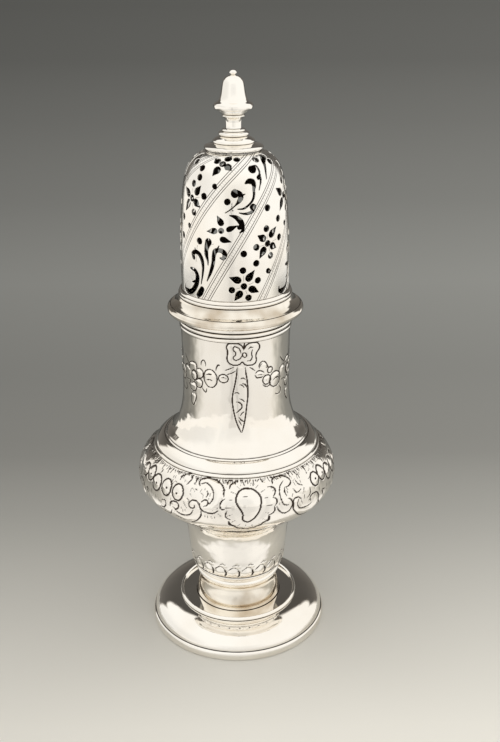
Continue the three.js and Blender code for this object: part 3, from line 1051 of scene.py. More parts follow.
@dataclass
class Baluster:
    """The caster's body: chased bulb, shoulder moulding, chased neck and the reeds round its mouth."""

    bulb_bottom: float = 22.0
    bulb_top: float = 73.3
    shoulder_top: float = 78.2
    neck_top: float = 118.1
    mouth_top: float = 122.8
    mouth_radius: float = 19.5
    wall: float = 0.8
    gadroons: int = 22
    columns: int = 256
    tree: ChasingTree = field(default_factory=ChasingTree)

    def build(self) -> None:
        """Builds and dresses the four pieces."""
        self.chase(
            "chased_bulb",
            "body_bulb",
            self.bulb(),
            [Grade(9.6, 0.25, 360), Grade(37.4, 0.9, 360), Grade(99, 0.27, 720)],
            (21.6, 22.6),
            [
                Chasing(BULB_LINES, BULB_FORMS),
                Chasing(CUP_LINES, CUP_FORMS, self.gadroons),
                Chasing(fringe() + matting(), FRINGE_FORMS),
            ],
        )
        shoulder = ("shoulder", self.shoulder(), MIRROR, "shoulder_moulding")
        turn_pieces(Body.CASTER, self.columns, shoulder)
        self.chase(
            "chased_neck",
            "body_neck",
            self.neck(),
            [Grade(3, 0.3, 300), Grade(8.6, 0.8, 300), Grade(99, 0.25, 600)],
            None,
            [Chasing(NECK_LINES, NECK_FORMS)],
        )
        reeds = ("mouth_reeds", self.mouth_reeds(), MIRROR, "mouth_reed_wire")
        turn_pieces(Body.CASTER, self.columns, reeds)

    def chase(
        self,
        name: str,
        node: str,
        outline: Outline,
        grades: Sequence[Grade],
        floor: Point | None,
        ornament: Sequence[Chasing],
    ) -> None:
        """Raises a sheet and chases its ornament.

        Args:
            name: The piece's name.
            node: The CAD node that it stands for.
            outline: Its outer face.
            grades: How finely it is meshed.
            floor: The heights of its floor, if it has one.
            ornament: What is chased into it, in turn.
        """
        piece = lathe(name, graded(outline, self.wall, grades, floor), 40.0)
        rail, _ = outline.line()
        curve = outline_curve(f"{name}_rail", rail)
        for work in ornament:
            drawn = stroke_cloud(f"{name}_lines", work.lines, rail)
            raised = stroke_cloud(f"{name}_forms", work.forms, rail)
            values = {"Outline": curve, "Lines": drawn, "Forms": raised, "Repeats": work.repeats}
            self.tree.apply(piece, {**values, "Finish": CHASED.material()})
            discard(drawn, raised)
        discard(curve)
        settle(piece, Body.CASTER, CHASED, node)

    def bulb(self) -> Outline:
        """Outline of the cup and bulb."""
        foot = [(15.75, self.bulb_bottom + 0.45), (15.9, 22.9), (16.2, 23.5)]
        bead = [(16.2, 23.5), (16.75, 23.75), (17.0, 24.25), (16.85, 24.75)]
        keys = [
            (16.85, 24.75), (17.25, 25.6), (18.12, 31.1), (18.6, 35), (18.95, 39), (19.6, 42),
            (21.2, 45.3), (23.8, 48.3), (27.2, 51), (30.6, 53.3), (33.4, 56), (35.2, 59), (35.78, 62.5),
            (35.5, 66), (34.3, 69), (32.3, 71.6), (29.8, self.bulb_top),
        ]
        creases = [(29.8, self.bulb_top, 0.9), (16.2, 23.5, 0.8), (16.85, 24.75, 0.9)]
        return Outline([foot, bead, keys], creases=creases, crease_width=0.2)

    def shoulder(self) -> Outline:
        """Outline of the moulding over the seam of bulb and neck."""
        low, top = self.bulb_top, self.shoulder_top
        bead = raised(low, (29.5, 0), (29.95, 0.18), (30.1, 0.5), (29.9, 0.9), (29.3, 1.25))
        swell = raised(low, (29.3, 1.25), (29.25, 1.8), (28.8, 2.6), (28.0, 3.4), (27.0, 4.1), (26.1, 4.45))
        hollow = [(26.1, low + 4.45), (25.75, low + 4.5), (25.4, top)]
        inner = (24.4, top)
        return Outline(
            [bead, swell, hollow, [hollow[-1], inner], [inner, (28.3, low)], [(28.3, low), bead[0]]],
            spacing=0.25,
            creases=[(29.3, low + 1.25, 0.9), (26.1, low + 4.45, 0.8), (29.5, low, 0.9)],
            crease_width=0.16,
        )

    def neck(self) -> Outline:
        """Outline of the neck."""
        keys = [
            (25.4, self.shoulder_top), (25.1, 78.6), (23.0, 80.2), (21.6, 82.2), (20.6, 84.6),
            (19.8, 87.5), (19.2, 91), (18.9, 95), (18.8, 100), (18.85, 107), (18.95, 114),
            (19.1, self.neck_top),
        ]
        return Outline([keys], creases=[(25.4, self.shoulder_top, 1.0)], crease_width=0.3)

    def mouth_reeds(self) -> Outline:
        """Outline of the reeded wire round the mouth."""
        low, top, edge = self.neck_top, self.mouth_top, self.mouth_radius
        step = (top - low) / 3
        lines = [low, low + step, low + 2 * step, top]
        reeds = []
        for start, end in zip(lines[:-1], lines[1:], strict=True):
            middle = (start + end) / 2
            flanks = (start + middle) / 2, (end + middle) / 2
            reeds.append(
                [
                    (edge - 0.5, start), (edge - 0.08, flanks[0]), (edge, middle),
                    (edge - 0.08, flanks[1]), (edge - 0.5, end),
                ]
            )
        inner = [(18.3, top), (18.3, low)]
        stretches = [*reeds, [reeds[-1][-1], inner[0]], inner, [inner[1], reeds[0][0]]]
        return Outline(stretches, 0.15, [(edge - 0.5, line, 1.0) for line in lines], 0.34)


@dataclass(frozen=True)
class Opening:
    """A sawn opening: a path of (share across the panel, share up the dome, width in mm) on one panel."""

    path: Sequence[WidePoint]
    panel: int = 0


@dataclass
class Drawing:
    """What is drawn on flat sheet: lines, the edges along them and the faces that are sawn out."""

    lines: list[Array] = field(default_factory=list)
    edges: list[tuple[int, int]] = field(default_factory=list)
    faces: list[list[int]] = field(default_factory=list)

    def add(self, line: Array, closed: bool) -> list[int]:
        """Adds a line, anticlockwise if it is closed.

        Args:
            line: Its points.
            closed: Whether the last point is joined to the first.

        Returns:
            The places of its points in the drawing.
        """
        after = np.roll(line, -1, axis=0)
        if closed and np.sum(line[:, 0] * after[:, 1] - line[:, 1] * after[:, 0]) < 0:
            line = line[::-1]
        start = sum(map(len, self.lines))
        self.lines.append(line)
        places = list(range(start, start + len(line)))
        self.edges.extend(itertools.pairwise(places))
        if closed:
            self.edges.append((places[-1], places[0]))
        return places

    def saw(self, line: Array) -> None:
        """Adds a closed line whose inside is a face."""
        self.faces.append(self.add(line, True))


@dataclass
class Cover:
    """The lift-off cover: bezel, flange, reeds, pierced dome and cap."""

    bezel_bottom: float = 112.5
    flange_bottom: float = 123.1
    flange_top: float = 129.8
    flange_radius: float = 23.5
    reed_top: float = 132.2
    dome_radius: float = 18.33
    dome_top: float = 178.3
    cap_top: float = 185.2
    bore: float = 17.05
    wall: float = 0.8
    start_turn: float = -32.0
    sweep: float = 126.0
    sweep_shares: WidePoint = (0.72, 0.08, 0.2)
    panels: int = 6
    chamfer: float = 0.12
    band_lines: tuple[float, ...] = (0.68, 1.38)
    line_depth: float = 0.01
    line_half: float = 0.14
    fine_half: float = 0.09
    speck_gap: float = 0.24
    speck_step: float = 1.0
    speck_ring: float = 0.2
    mark_reach: float = 0.03
    thinnest: float = 0.24
    spacing: float = 0.3
    closest: float = 0.013
    seam_reach: float = 0.004
    # How dark the dome's inner face is marked: painted shade.
    inner_painted_shade: float = 0.8
    crease_angle: float = 28.0
    grid: float = 0.95
    grid_clearance: float = 0.38
    columns: int = 256
    bezel_columns: int = 192
    tree: PiercedTree = field(default_factory=PiercedTree)

    def build(self) -> None:
        """Builds and dresses the five pieces."""
        turn_pieces(Body.COVER, self.bezel_columns, ("bezel", self.bezel(), SLEEVE, "cover_bezel"))
        turn_pieces(
            Body.COVER,
            self.columns,
            ("cover_flange_ring", self.flange(), WORN, "cover_flange"),
            ("cover_reeds", self.reeds(), MIRROR, "cover_reed_wire"),
            ("cap", self.cap(), MIRROR, "cover_cap"),
        )
        settle(self.pierce(), Body.COVER, DOMED, "cover_dome")

    def bezel(self) -> Outline:
        """Outline of the sleeve that slips into the neck."""
        low, top, inner, outer = self.bezel_bottom, self.flange_bottom, self.bore, self.bore + 0.7
        corners = [(outer - 0.15, low), (outer, low + 0.3), (outer, top), (inner, top), (inner, low)]
        ends = [*corners[1:], corners[0]]
        return Outline([[start, end] for start, end in zip(corners, ends, strict=True)], spacing=2.0)

    def flange(self) -> Outline:
        """Outline of the wide moulding that rests on the mouth."""
        low, top, edge = self.flange_bottom, self.flange_top, self.flange_radius
        torus = raised(
            low, (19.4, 0), (21.2, 0.12), (22.5, 0.5), (23.25, 1.15), (edge, 1.95), (23.25, 2.8),
            (22.55, 3.45),
        )
        cove = [*raised(low, (22.3, 3.55), (21.1, 4.1), (20.2, 4.9), (19.7, 5.7)), (19.45, top)]
        return Outline(
            [
                torus, [torus[-1], cove[0]], cove, [cove[-1], (self.bore, top)],
                [(self.bore, top), (self.bore, low)], [(self.bore, low), torus[0]],
            ],
            spacing=0.25,
            creases=[(22.4, low + 3.5, 0.8), (19.45, top, 0.8)],
            crease_width=0.16,
        )

    def reeds(self) -> Outline:
        """Outline of the two-reed wire at the foot of the dome."""
        low, top = self.flange_top, self.reed_top
        lower = raised(low, (19.2, 0), (19.5, 0.25), (19.6, 0.6), (19.5, 0.95), (19.15, 1.2))
        upper = [*raised(low, (19.15, 1.2), (19.25, 1.45), (19.2, 1.8), (18.9, 2.15)), (18.5, top)]
        return Outline(
            [
                lower, upper, [upper[-1], (self.bore, top)], [(self.bore, top), (self.bore, low)],
                [(self.bore, low), lower[0]],
            ],
            spacing=0.2,
            creases=[(19.15, low + 1.2, 0.85), (19.2, low, 0.8), (18.5, top, 0.8)],
            crease_width=0.14,
        )

    def cap(self) -> Outline:
        """Outline of the stepped cap on the crown."""
        low = self.dome_top
        rim = raised(low, (8.9, 0), (8.95, 0.3), (9.5, 0.5), (9.7, 0.95), (9.6, 1.4), (9.1, 1.7))
        flare = raised(low, (9.1, 1.7), (8.3, 1.85), (7.5, 2.05), (6.7, 2.35))
        cone = raised(
            low, (6.5, 2.4), (6.85, 2.7), (6.85, 3.15), (6.4, 3.65), (5.6, 4.1), (4.8, 4.45), (4.3, 4.6),
        )
        step = raised(low, (4.3, 4.65), (4.85, 4.85), (5.05, 5.3), (4.9, 5.75), (4.2, 6.0))
        top = [*raised(low, (3.6, 6.05), (3.85, 6.3), (3.75, 6.7)), (3.2, self.cap_top)]
        stretches = [[(0, low), rim[0]]]
        for run in (rim, flare, cone, step, top):
            if stretches[-1][-1] != run[0]:
                stretches.append([stretches[-1][-1], run[0]])
            stretches.append(run)
        creases = [(8.9, low, 0.9), (6.5, low + 2.4, 0.9), (4.3, low + 4.65, 0.9), (3.6, low + 6.05, 0.9)]
        return Outline([*stretches, [top[-1], (0, self.cap_top)]], 0.2, creases, 0.13)

    def dome(self) -> Outline:
        """Outline of the dome's outer face."""
        wide = self.dome_radius
        keys = [
            (wide - 0.08, self.reed_top), (wide - 0.01, 140), (wide, 148), (18.12, 154), (17.78, 159),
            (17.4, 163.5), (16.9, 167.5), (16.05, 171.2), (14.95, 173.9), (13.5, 175.8), (12, 177.1),
            (10.5, 177.9), (9.2, self.dome_top - 0.05),
        ]
        return Outline([keys])

    def turn(self, panel: float, across: float, up: float) -> float:
        """Turn about the axis, in degrees, of a place on a panel."""
        first, third, sixth = self.sweep_shares
        leaning = self.sweep * (first * up + third * up**3 + sixth * up**6)
        return self.start_turn + leaning + 360 / self.panels * (panel + 0.5 + across)

    def flat(self, panel: float, across: float, up: float) -> Point:
        """A place on a panel in flat millimetres: round the dome at its widest, and up its outline."""
        return math.radians(self.turn(panel, across, up)) * self.dome_radius, up * self.length

    def narrowing(self, distance: Array | float) -> Array | float:
        """The dome's radius at a distance up its outline as a share of its widest."""
        return np.interp(distance, self.lengths, self.rail[:, 0]) / self.dome_radius

    def offset(self, line: Array, gap: Array | float) -> Array:
        """Shifts a flat line to its left by a true distance on the curved dome."""
        narrow = self.narrowing(line[:, 1])
        along = np.gradient(line[:, :2], axis=0)
        true = np.stack([along[:, 0] * narrow, along[:, 1]], axis=1)
        true /= np.maximum(np.hypot(*true.T), 1e-9)[:, None]
        shift = np.stack([-true[:, 1] / narrow, true[:, 0]], axis=1)
        return line[:, :2] + shift * np.asarray(gap).reshape(-1, 1)

    def loop(self, opening: Opening, widen: float) -> Array:
        """The edge of an opening.

        Args:
            opening: The opening.
            widen: How far outside the sawn edge the loop runs.

        Returns:
            Flat points in order round the opening.
        """
        keys = [(*self.flat(opening.panel, across, up), width) for across, up, width in opening.path]
        if len(keys) == 1:
            x, y, width = keys[0]
            radius = width / 2 + widen
            turns = np.linspace(0, FULL_TURN, 20, endpoint=False)
            narrow = float(self.narrowing(y))
            return np.stack([x + radius * np.cos(turns) / narrow, y + radius * np.sin(turns)], axis=1)
        line = smooth_line(keys, self.spacing)
        half = np.maximum(line[:, 2], self.thinnest) / 2 + widen
        left, right = self.offset(line, half), self.offset(line, -half)
        return np.vstack([left, self.cap_arc(line, half, -1), right[::-1], self.cap_arc(line, half, 0)])

    def cap_arc(self, line: Array, half: Array, end: int) -> Array:
        """Half a circle round one end of a line, from its left to its right seen along the way out."""
        place, beside = line[end, :2], line[-2 if end else 1, :2]
        narrow = float(self.narrowing(place[1]))
        out = (place - beside) * [narrow, 1]
        heading = math.atan2(out[1], out[0])
        steps = 3 if half[end] < 0.4 else 7
        turns = heading + np.linspace(math.pi / 2, -math.pi / 2, steps + 2)[1:-1]
        return place + half[end] * np.stack([np.cos(turns) / narrow, np.sin(turns)], axis=1)

    def band_line(self, seam: float, gap: float) -> Array:
        """A line at a true distance beside the middle of the band between two panels."""
        ups = np.linspace(0, 1, 56)
        middle = np.array([self.flat(seam, 0.0, up) for up in ups])
        line = self.offset(middle, -gap)
        slope = np.gradient(middle[:, 0], middle[:, 1])
        line[:, 0] += slope * (middle[:, 1] - line[:, 1])
        line[:, 1] = middle[:, 1]
        return line

    def pierce(self) -> Thing:
        """Saws the openings and engraves the bands in flat sheet, then rolls it and repeats it.

        Returns:
            The pierced dome.
        """
        self.rail, _ = self.dome().line()
        self.lengths = arc_lengths(self.rail)
        self.length = float(self.lengths[-1])
        left, right = self.band_line(-0.5, 0), self.band_line(1.5, 0)
        top, bottom = self.edge_row(left[-1], right[-1]), self.edge_row(right[0], left[0])
        drawing = Drawing()
        drawing.saw(np.vstack([left, top, right[::-1], bottom]))
        loops = [self.loop(opening, 0.0) for opening in (*ROSETTES, *SCROLLS)]
        for opening, exact in zip((*ROSETTES, *SCROLLS), loops, strict=True):
            drawing.saw(exact)
            drawing.add(self.loop(opening, self.chamfer), True)
        grooves = [*self.draw_bands(drawing), *self.draw_fine_lines(drawing)]
        beside = ((-0.5, 1), (0.5, -1), (0.5, 1), (1.5, -1))
        specks = np.vstack([self.specks(seam, sign) for seam, sign in beside])
        turns = np.arange(5) * FULL_TURN / 5
        rings = [specks + [self.speck_ring * math.cos(t), self.speck_ring * math.sin(t)] for t in turns]
        drawn = np.vstack([*drawing.lines, specks, *rings])
        everything = np.vstack([drawn, self.grid_points(left, right, drawn)])
        cut = delaunay_2d_cdt([Vector(p) for p in everything], drawing.edges, drawing.faces, 0, 1e-4, True)
        flat = np.array([tuple(p) for p in cut[0]])
        kept = [
            face for face, sources in zip(cut[2], cut[5], strict=True) if 0 in sources and max(sources) == 0
        ]
        return self.sheet(*self.merged(flat, kept), loops, grooves, specks, left, right)

    def draw_bands(self, drawing: Drawing) -> list[Array]:
        """Draws the engraved lines of the bands, each with its edges, and gives what is engraved."""
        found = []
        for seam, signs in ((-0.5, (1,)), (0.5, (-1, 1)), (1.5, (-1,))):
            for sign, gap in itertools.product(signs, self.band_lines):
                for side in (-self.line_half, self.line_half):
                    drawing.add(self.band_line(seam, sign * gap + side), False)
                    groove = self.band_line(seam, sign * gap + side * 0.4)
                    drawing.add(groove, False)
                    found.append(groove)
        return found

    def draw_fine_lines(self, drawing: Drawing) -> list[Array]:
        """Draws the fine engraved lines, each with its edges, and gives their middles."""
        found = []
        for panel, *keys in ENGRAVED:
            line = smooth_line([self.flat(panel, across, up) for across, up in keys], self.spacing)
            drawing.add(line, False)
            found.append(line)
            for side in (-self.fine_half, self.fine_half):
                drawing.add(self.offset(line, side), False)
        return found

    def merged(self, flat: Array, kept: Sequence[Sequence[int]]) -> tuple[Array, Array]:
        """Joins points that would all but touch on the rolled dome, and leaves out those without a face.

        Args:
            flat: The points of the drawing.
            kept: Its triangles outside the openings.

        Returns:
            The points that remain, and the triangles on them.
        """
        angles = flat[:, 0] / self.dome_radius
        radii, heights = (np.interp(flat[:, 1], self.lengths, self.rail[:, axis]) for axis in (0, 1))
        places = np.stack([radii * np.sin(angles), radii * np.cos(angles), heights], axis=1)
        near = KDTree(len(places))
        for number, place in enumerate(places):
            near.insert(place, number)
        near.balance()
        groups = (near.find_range(place, self.closest) for place in places)
        first = np.array([min(found[1] for found in group) for group in groups])
        faces = first[first][np.array(kept)]
        whole = (faces != np.roll(faces, 1, axis=1)).all(axis=1)
        used, corners = np.unique(faces[whole], return_inverse=True)
        return flat[used], corners.reshape(-1, 3)

    def specks(self, seam: float, sign: int) -> Array:
        """A row of punched specks beside the middle of a band."""
        line = self.band_line(seam, sign * self.speck_gap)
        lengths = arc_lengths(line)
        at = np.arange(0.6 + 0.3 * sign, lengths[-1] - 0.6, self.speck_step)
        return points_at(at, lengths, line)

    def edge_row(self, start: Array, end: Array) -> Array:
        """Evenly spaced points between two corners of the sector."""
        steps = max(2, round(abs(end[0] - start[0]) / 0.8))
        return np.linspace(start, end, steps + 1)[1:-1]

    def grid_points(self, left: Array, right: Array, drawn: Array) -> Array:
        """Points between the drawn lines, so that the faces stay small."""
        rows = np.arange(self.grid / 2, self.length - self.grid / 3, self.grid)
        found = []
        for number, level in enumerate(rows):
            step = self.grid / float(self.narrowing(level))
            start = np.interp(level, left[:, 1], left[:, 0]) + step * (0.5 if number % 2 else 0.95)
            end = np.interp(level, right[:, 1], right[:, 0]) - step * 0.4
            across = np.arange(start, end, step)
            found.append(np.stack([across, np.full(len(across), level)], axis=1))
        free = np.vstack(found)
        clear = np.array([np.min(np.hypot(*(drawn - p).T)) > self.grid_clearance for p in free])
        return free[clear]

    def sheet(
        self,
        flat: Array,
        kept: Array,
        loops: Sequence[Array],
        grooves: Sequence[Array],
        specks: Array,
        left: Array,
        right: Array,
    ) -> Thing:
        """Gives the flat drawing its thickness, chamfers and engraved lines, and rolls it.

        Args:
            flat: The points of the drawing.
            kept: Its triangles outside the openings.
            loops: The sawn edges.
            grooves: The middles of the engraved lines.
            specks: The punched specks between them.
            left: The sector's left seam.
            right: The sector's right seam.

        Returns:
            The pierced dome.
        """
        height = -self.chamfer * np.clip(1 - distance_to(flat, loops) / self.chamfer, 0, 1)
        engraved = distance_to(flat, grooves) < self.mark_reach
        height -= self.line_depth * engraved
        punched = [
            np.hypot(*(flat[row : row + CHUNK, None, :] - specks).transpose(2, 0, 1)).min(axis=1)
            for row in range(0, len(flat), CHUNK)
        ]
        stain = np.maximum(1.0 * engraved, 0.9 * (np.concatenate(punched) < self.mark_reach))
        triangles = [tuple(face) for face in kept.tolist()]
        used = {edge for a, b, c in triangles for edge in ((a, b), (b, c), (c, a))}
        on_seam = np.min(
            [np.abs(flat[:, 0] - np.interp(flat[:, 1], seam[:, 1], seam[:, 0])) for seam in (left, right)],
            axis=0,
        ) < self.seam_reach
        number = len(flat)
        walls = [
            (b, a, a + number, b + number)
            for a, b in sorted(used)
            if (b, a) not in used and not (on_seam[a] and on_seam[b])
        ]
        inner = [(a + number, c + number, b + number) for a, b, c in triangles]
        outer_rows = np.stack([flat[:, 0] / self.dome_radius, flat[:, 1] * MM, height * MM], axis=1)
        inner_rows = outer_rows.copy()
        inner_rows[:, 2] = -self.wall * MM
        mesh = bpy.data.meshes.new("pierced_dome")
        mesh.from_pydata(np.vstack([outer_rows, inner_rows]).tolist(), [], [*triangles, *inner, *walls])
        # Engraved lines and specks are tarnished; the inner face is darkened with painted shade.
        write_values(
            mesh, PATINA_AND_SHADE, "FLOAT", "POINT", np.concatenate([stain, np.full(number, self.inner_painted_shade)]),
        )
        sides = (Side.OUTER, triangles), (Side.INNER, inner), (Side.EDGE, walls)
        of_faces = np.concatenate([np.full(len(faces), side.value) for side, faces in sides])
        write_values(mesh, SIDE, "INT", "FACE", of_faces)
        loose = linked("pierced_dome", mesh)
        rail = outline_curve("dome_rail", self.rail)
        self.tree.apply(
            loose,
            {
                "Outline": rail,
                "Repeats": self.panels // 2,
                "Seam": 0.01 * MM,
                "Face finish": DOMED.material(),
                "Inside finish": INSIDE.material(),
            },
        )
        discard(rail)
        loose.data.shade_smooth()
        loose.data.set_sharp_from_angle(angle=math.radians(self.crease_angle))
        return loose


def distance_to(points: Array, lines: Sequence[Array]) -> Array:
    """Distance of each flat point to the nearest of some closely drawn lines."""
    starts = np.vstack(lines)
    ends = np.vstack([np.roll(line, -1, axis=0) if closed_line(line) else step_ends(line) for line in lines])
    along = ends - starts
    squared = np.maximum((along**2).sum(axis=1), 1e-12)
    found = []
    for place in range(0, len(points), CHUNK):
        chunk = points[place : place + CHUNK, None, :2]
        share = np.clip(((chunk - starts) * along).sum(axis=2) / squared, 0, 1)
        gaps = chunk - starts - share[..., None] * along
        found.append(np.sqrt((gaps**2).sum(axis=2)).min(axis=1))
    return np.concatenate(found)


def closed_line(line: Array) -> bool:
    """Whether a line's last point lies beside its first."""
    return bool(np.hypot(*(line[0] - line[-1])) < 3)


def step_ends(line: Array) -> Array:
    """The far end of each step of an open line; the last step has no length."""
    return np.vstack([line[1:], line[-1:]])


@dataclass
class Finial:
    """The finial: baluster stem, bell and button."""

    stem_bottom: float = 176.4
    cap_top: float = 185.2
    stem_top: float = 189.65
    bell_top: float = 201.7
    tip: float = 203.3
    columns: int = 128

    def build(self) -> None:
        """Builds and dresses the three pieces."""
        turn_pieces(
            Body.COVER,
            self.columns,
            ("finial_baluster", self.stem(), MIRROR, "finial_stem"),
            ("bell", self.bell(), MIRROR, "finial_bell"),
            ("button", self.button(), MIRROR, "finial_button"),
        )

    def stem(self) -> Outline:
        """Outline of the stem with the pin that holds the finial on."""
        low, top = self.stem_bottom, self.stem_top
        face = [
            (2.8, self.cap_top), (2.62, 185.55), (2.55, 186.5), (2.62, 187.4), (2.85, 188.1), (3.3, 188.6),
            (3.75, 188.95),
        ]
        ring = [(3.75, 188.95), (3.85, 189.15), (3.7, 189.4), (3.1, top)]
        return Outline(
            [
                [(0, low), (1.2, low)], [(1.2, low), (1.2, self.cap_top)], [(1.2, self.cap_top), face[0]],
                face, ring, [ring[-1], (0, top)],
            ],
            spacing=0.2,
            creases=[(2.8, self.cap_top, 0.9), (3.1, top, 1.0)],
            crease_width=0.12,
        )

    def bell(self) -> Outline:
        """Outline of the bell."""
        low = self.stem_top
        under = raised(low, (3.3, 0), (4.05, 0.2), (4.5, 0.6), (4.75, 1.1), (4.85, 1.4))
        rim = raised(
            low, (4.85, 1.4), (5.75, 1.42), (6.2, 1.75), (6.38, 2.3), (6.38, 2.9), (6.15, 3.4), (5.7, 3.7),
        )
        side = [
            *raised(low, (5.7, 3.7), (5.1, 4.07), (4.62, 4.6), (4.32, 5.3), (4.05, 6.3), (3.82, 7.6)),
            *raised(low, (3.62, 8.9), (3.4, 9.95), (3.05, 10.75), (2.45, 11.4), (1.75, 11.85)),
            (0.9, self.bell_top),
        ]
        return Outline(
            [[(0, low), under[0]], under, rim, side, [side[-1], (0, self.bell_top)]],
            spacing=0.2,
            creases=[(4.85, low + 1.4, 0.7), (3.3, low, 1.0)],
            crease_width=0.12,
        )

    def button(self) -> Outline:
        """Outline of the button on the bell."""
        low, top = self.bell_top, self.tip
        face = [
            *raised(low, (0.62, 0), (0.8, 0.22), (1.12, 0.5), (1.2, 0.82), (1.02, 1.2), (0.6, 1.5)),
            (0, top),
        ]
        return Outline(
            [[(0, low), face[0]], face], spacing=0.15, creases=[(0.62, low, 0.8)], crease_width=0.1,
        )


@dataclass
class Studio:
    """Floor, daylight and the camera at the photo's angle.

    A pair of numbers is a soft edge, from where it starts to where it is complete. Starts and ends are
    distances from the axis in metres; the others say how squarely a place lies in front, from -1 right
    behind the caster to 1 right before it, or, for the stripe, how far to the left.
    """

    camera_place: tuple[float, float, float] = (0.0, -0.3206, 0.2317)
    pitch: float = -22.27
    yaw: float = 0.887
    roll: float = -0.235
    lens: float = 47.246
    sensor: float = 36.0
    floor_half: float = 12.0
    # Painted light on the floor: its tone at distances from the front, falling off from front to back.
    painted_floor_light: Sequence[tuple[float, float]] = (
        (-0.60, 0.8), (-0.15, 0.78), (-0.07, 0.7), (0.004, 0.48), (0.066, 0.325), (0.136, 0.22),
        (0.245, 0.2), (0.44, 0.225), (0.74, 0.175), (1.37, 0.138), (2.6, 0.108), (7.6, 0.098),
    )
    floor_gain: float = 1.18
    # Tints of the floor's painted light: warm in front, cool behind.
    near_tint: Colour = (1.0, 0.975, 0.905)
    far_tint: Colour = (0.99, 1.0, 0.955)
    tone_front: float = 0.8
    tone_nearest: float = 0.05
    # Painted side light: how much lighter the floor gets towards the right.
    lean: float = 0.6
    side_light_ends: Point = (0.8, 1.2)
    mirrored_edge: Point = (-0.93, -0.8)
    mirrored_dimming: float = 0.5
    glow: float = 0.92
    glow_tint: Colour = (1.0, 0.975, 0.93)
    far_glow: float = 0.14
    close_glow: float = 0.1
    front_dimming: float = 0.1
    front_end: Point = (0.8, 1.0)
    far_start: Point = (0.4, 0.5)
    far_edge: Point = (-0.82, -0.74)
    foot_shade: float = 0.024
    foot_edge: Point = (0.2, 0.8)
    close_start: Point = (0.042, 0.055)
    close_end: Point = (0.09, 0.13)
    close_edge: Point = (-0.48, -0.36)
    front_start: Point = (0.035, 0.046)
    front_edge: Point = (-0.15, 0.45)
    stripe_sides: tuple[Point, Point] = ((0.03, 0.09), (0.19, 0.27))
    stripe_edge: Point = (0.5, 0.8)
    stripe_start: Point = (0.12, 0.3)
    stripe_dimming: float = 0.17
    room_edge: Point = (-0.7, -0.62)
    room_height: Point = (0.44, 0.52)
    room_rise: float = 0.26
    room_light: Point = (0.17, 0.085)
    room_light_height: float = 0.6
    room_tint: Colour = (1.0, 0.93, 0.84)
    sky_tint: Colour = (1.0, 0.985, 0.95)
    sky_glow: float = 1.06
    ahead_dimming: float = 0.13
    left_dimming: float = 0.14
    clip: Point = (0.01, 60.0)

    def build(self) -> None:
        """Builds the floor, the light and the camera."""
        self.floor()
        self.daylight()
        self.camera()

    def floor(self) -> None:
        """Lays the plain floor with painted light, bright in front and dim behind, and lit where the silver
        mirrors it.
        """
        half = self.floor_half
        corners = [(-half, -half, 0), (half, -half, 0), (half, half, 0), (-half, half, 0)]
        mesh = bpy.data.meshes.new("floor")
        mesh.from_pydata(corners, [], [(0, 1, 2, 3)])
        plane = linked("floor", mesh)
        made = bpy.data.materials.new("pale_floor")
        made.use_nodes = True
        graph = Graph(made.node_tree)
        place = graph.parts(graph.node("ShaderNodeTexCoord", output="Object"))
        aside, away = place["X"], place["Y"]
        radius = graph.math("SQRT", aside * aside + away * away)
        facing = away / graph.largest(radius, 0.001) * -1.0
        mirrored = graph.node("ShaderNodeLightPath", output="Is Glossy Ray")
        # Reflections see the floor behind the caster darker: a painted reflection.
        dim = 1.0 - mirrored * (1.0 - graph.ease(facing, *self.mirrored_edge)) * self.mirrored_dimming
        # The floor's colour carries painted light: bright in front, dim behind, lighter to the right.
        scale = {0: self.painted_floor_falloff(graph, away), "Scale": self.painted_side_light(graph, aside, away) * dim}
        leaning = graph.node("ShaderNodeVectorMath", {"operation": "SCALE"}, scale)
        matt = graph.node("ShaderNodeBsdfDiffuse", None, {"Color": leaning})
        lit, strength = self.floor_glow(graph, aside, radius, facing)
        glow = graph.node(
            "ShaderNodeEmission", None, {"Color": (*self.glow_tint, 1.0), "Strength": strength},
        )
        shader = graph.node("ShaderNodeMixShader", None, {0: mirrored * lit, 1: matt, 2: glow})
        graph.node("ShaderNodeOutputMaterial", None, {"Surface": shader})
        mesh.materials.append(made)

    def painted_floor_falloff(self, graph: Graph, away: Wire) -> Wire:
        """The floor's painted light, which falls off with the logarithm of the distance from the front."""
        reach = graph.largest(away + self.tone_front, self.tone_nearest)
        lowest, highest = math.log10(self.tone_nearest), math.log10(self.floor_half + self.tone_front)
        inputs = {0: graph.math("LOGARITHM", reach, 10.0), 1: lowest, 2: highest, 3: 0.0, 4: 1.0}
        stops = [
            (
                (math.log10(place_y + self.tone_front) - lowest) / (highest - lowest),
                tuple(min(1.0, tone * self.floor_gain * part) for part in self.tint(place_y)),
            )
            for place_y, tone in self.painted_floor_light
        ]
        position = graph.node("ShaderNodeMapRange", None, inputs)
        return graph.node("ShaderNodeValToRGB", {"stops": stops}, {"Fac": position})

    def painted_side_light(self, graph: Graph, aside: Wire, away: Wire) -> Wire:
        """Painted side light: how much lighter the floor is towards the right than in the middle."""
        darkest, lightest = self.side_light_ends
        lean = 1.0 + self.lean * aside / graph.largest(away + 0.75, 0.5)
        return graph.largest(graph.math("MINIMUM", lean, lightest), darkest)

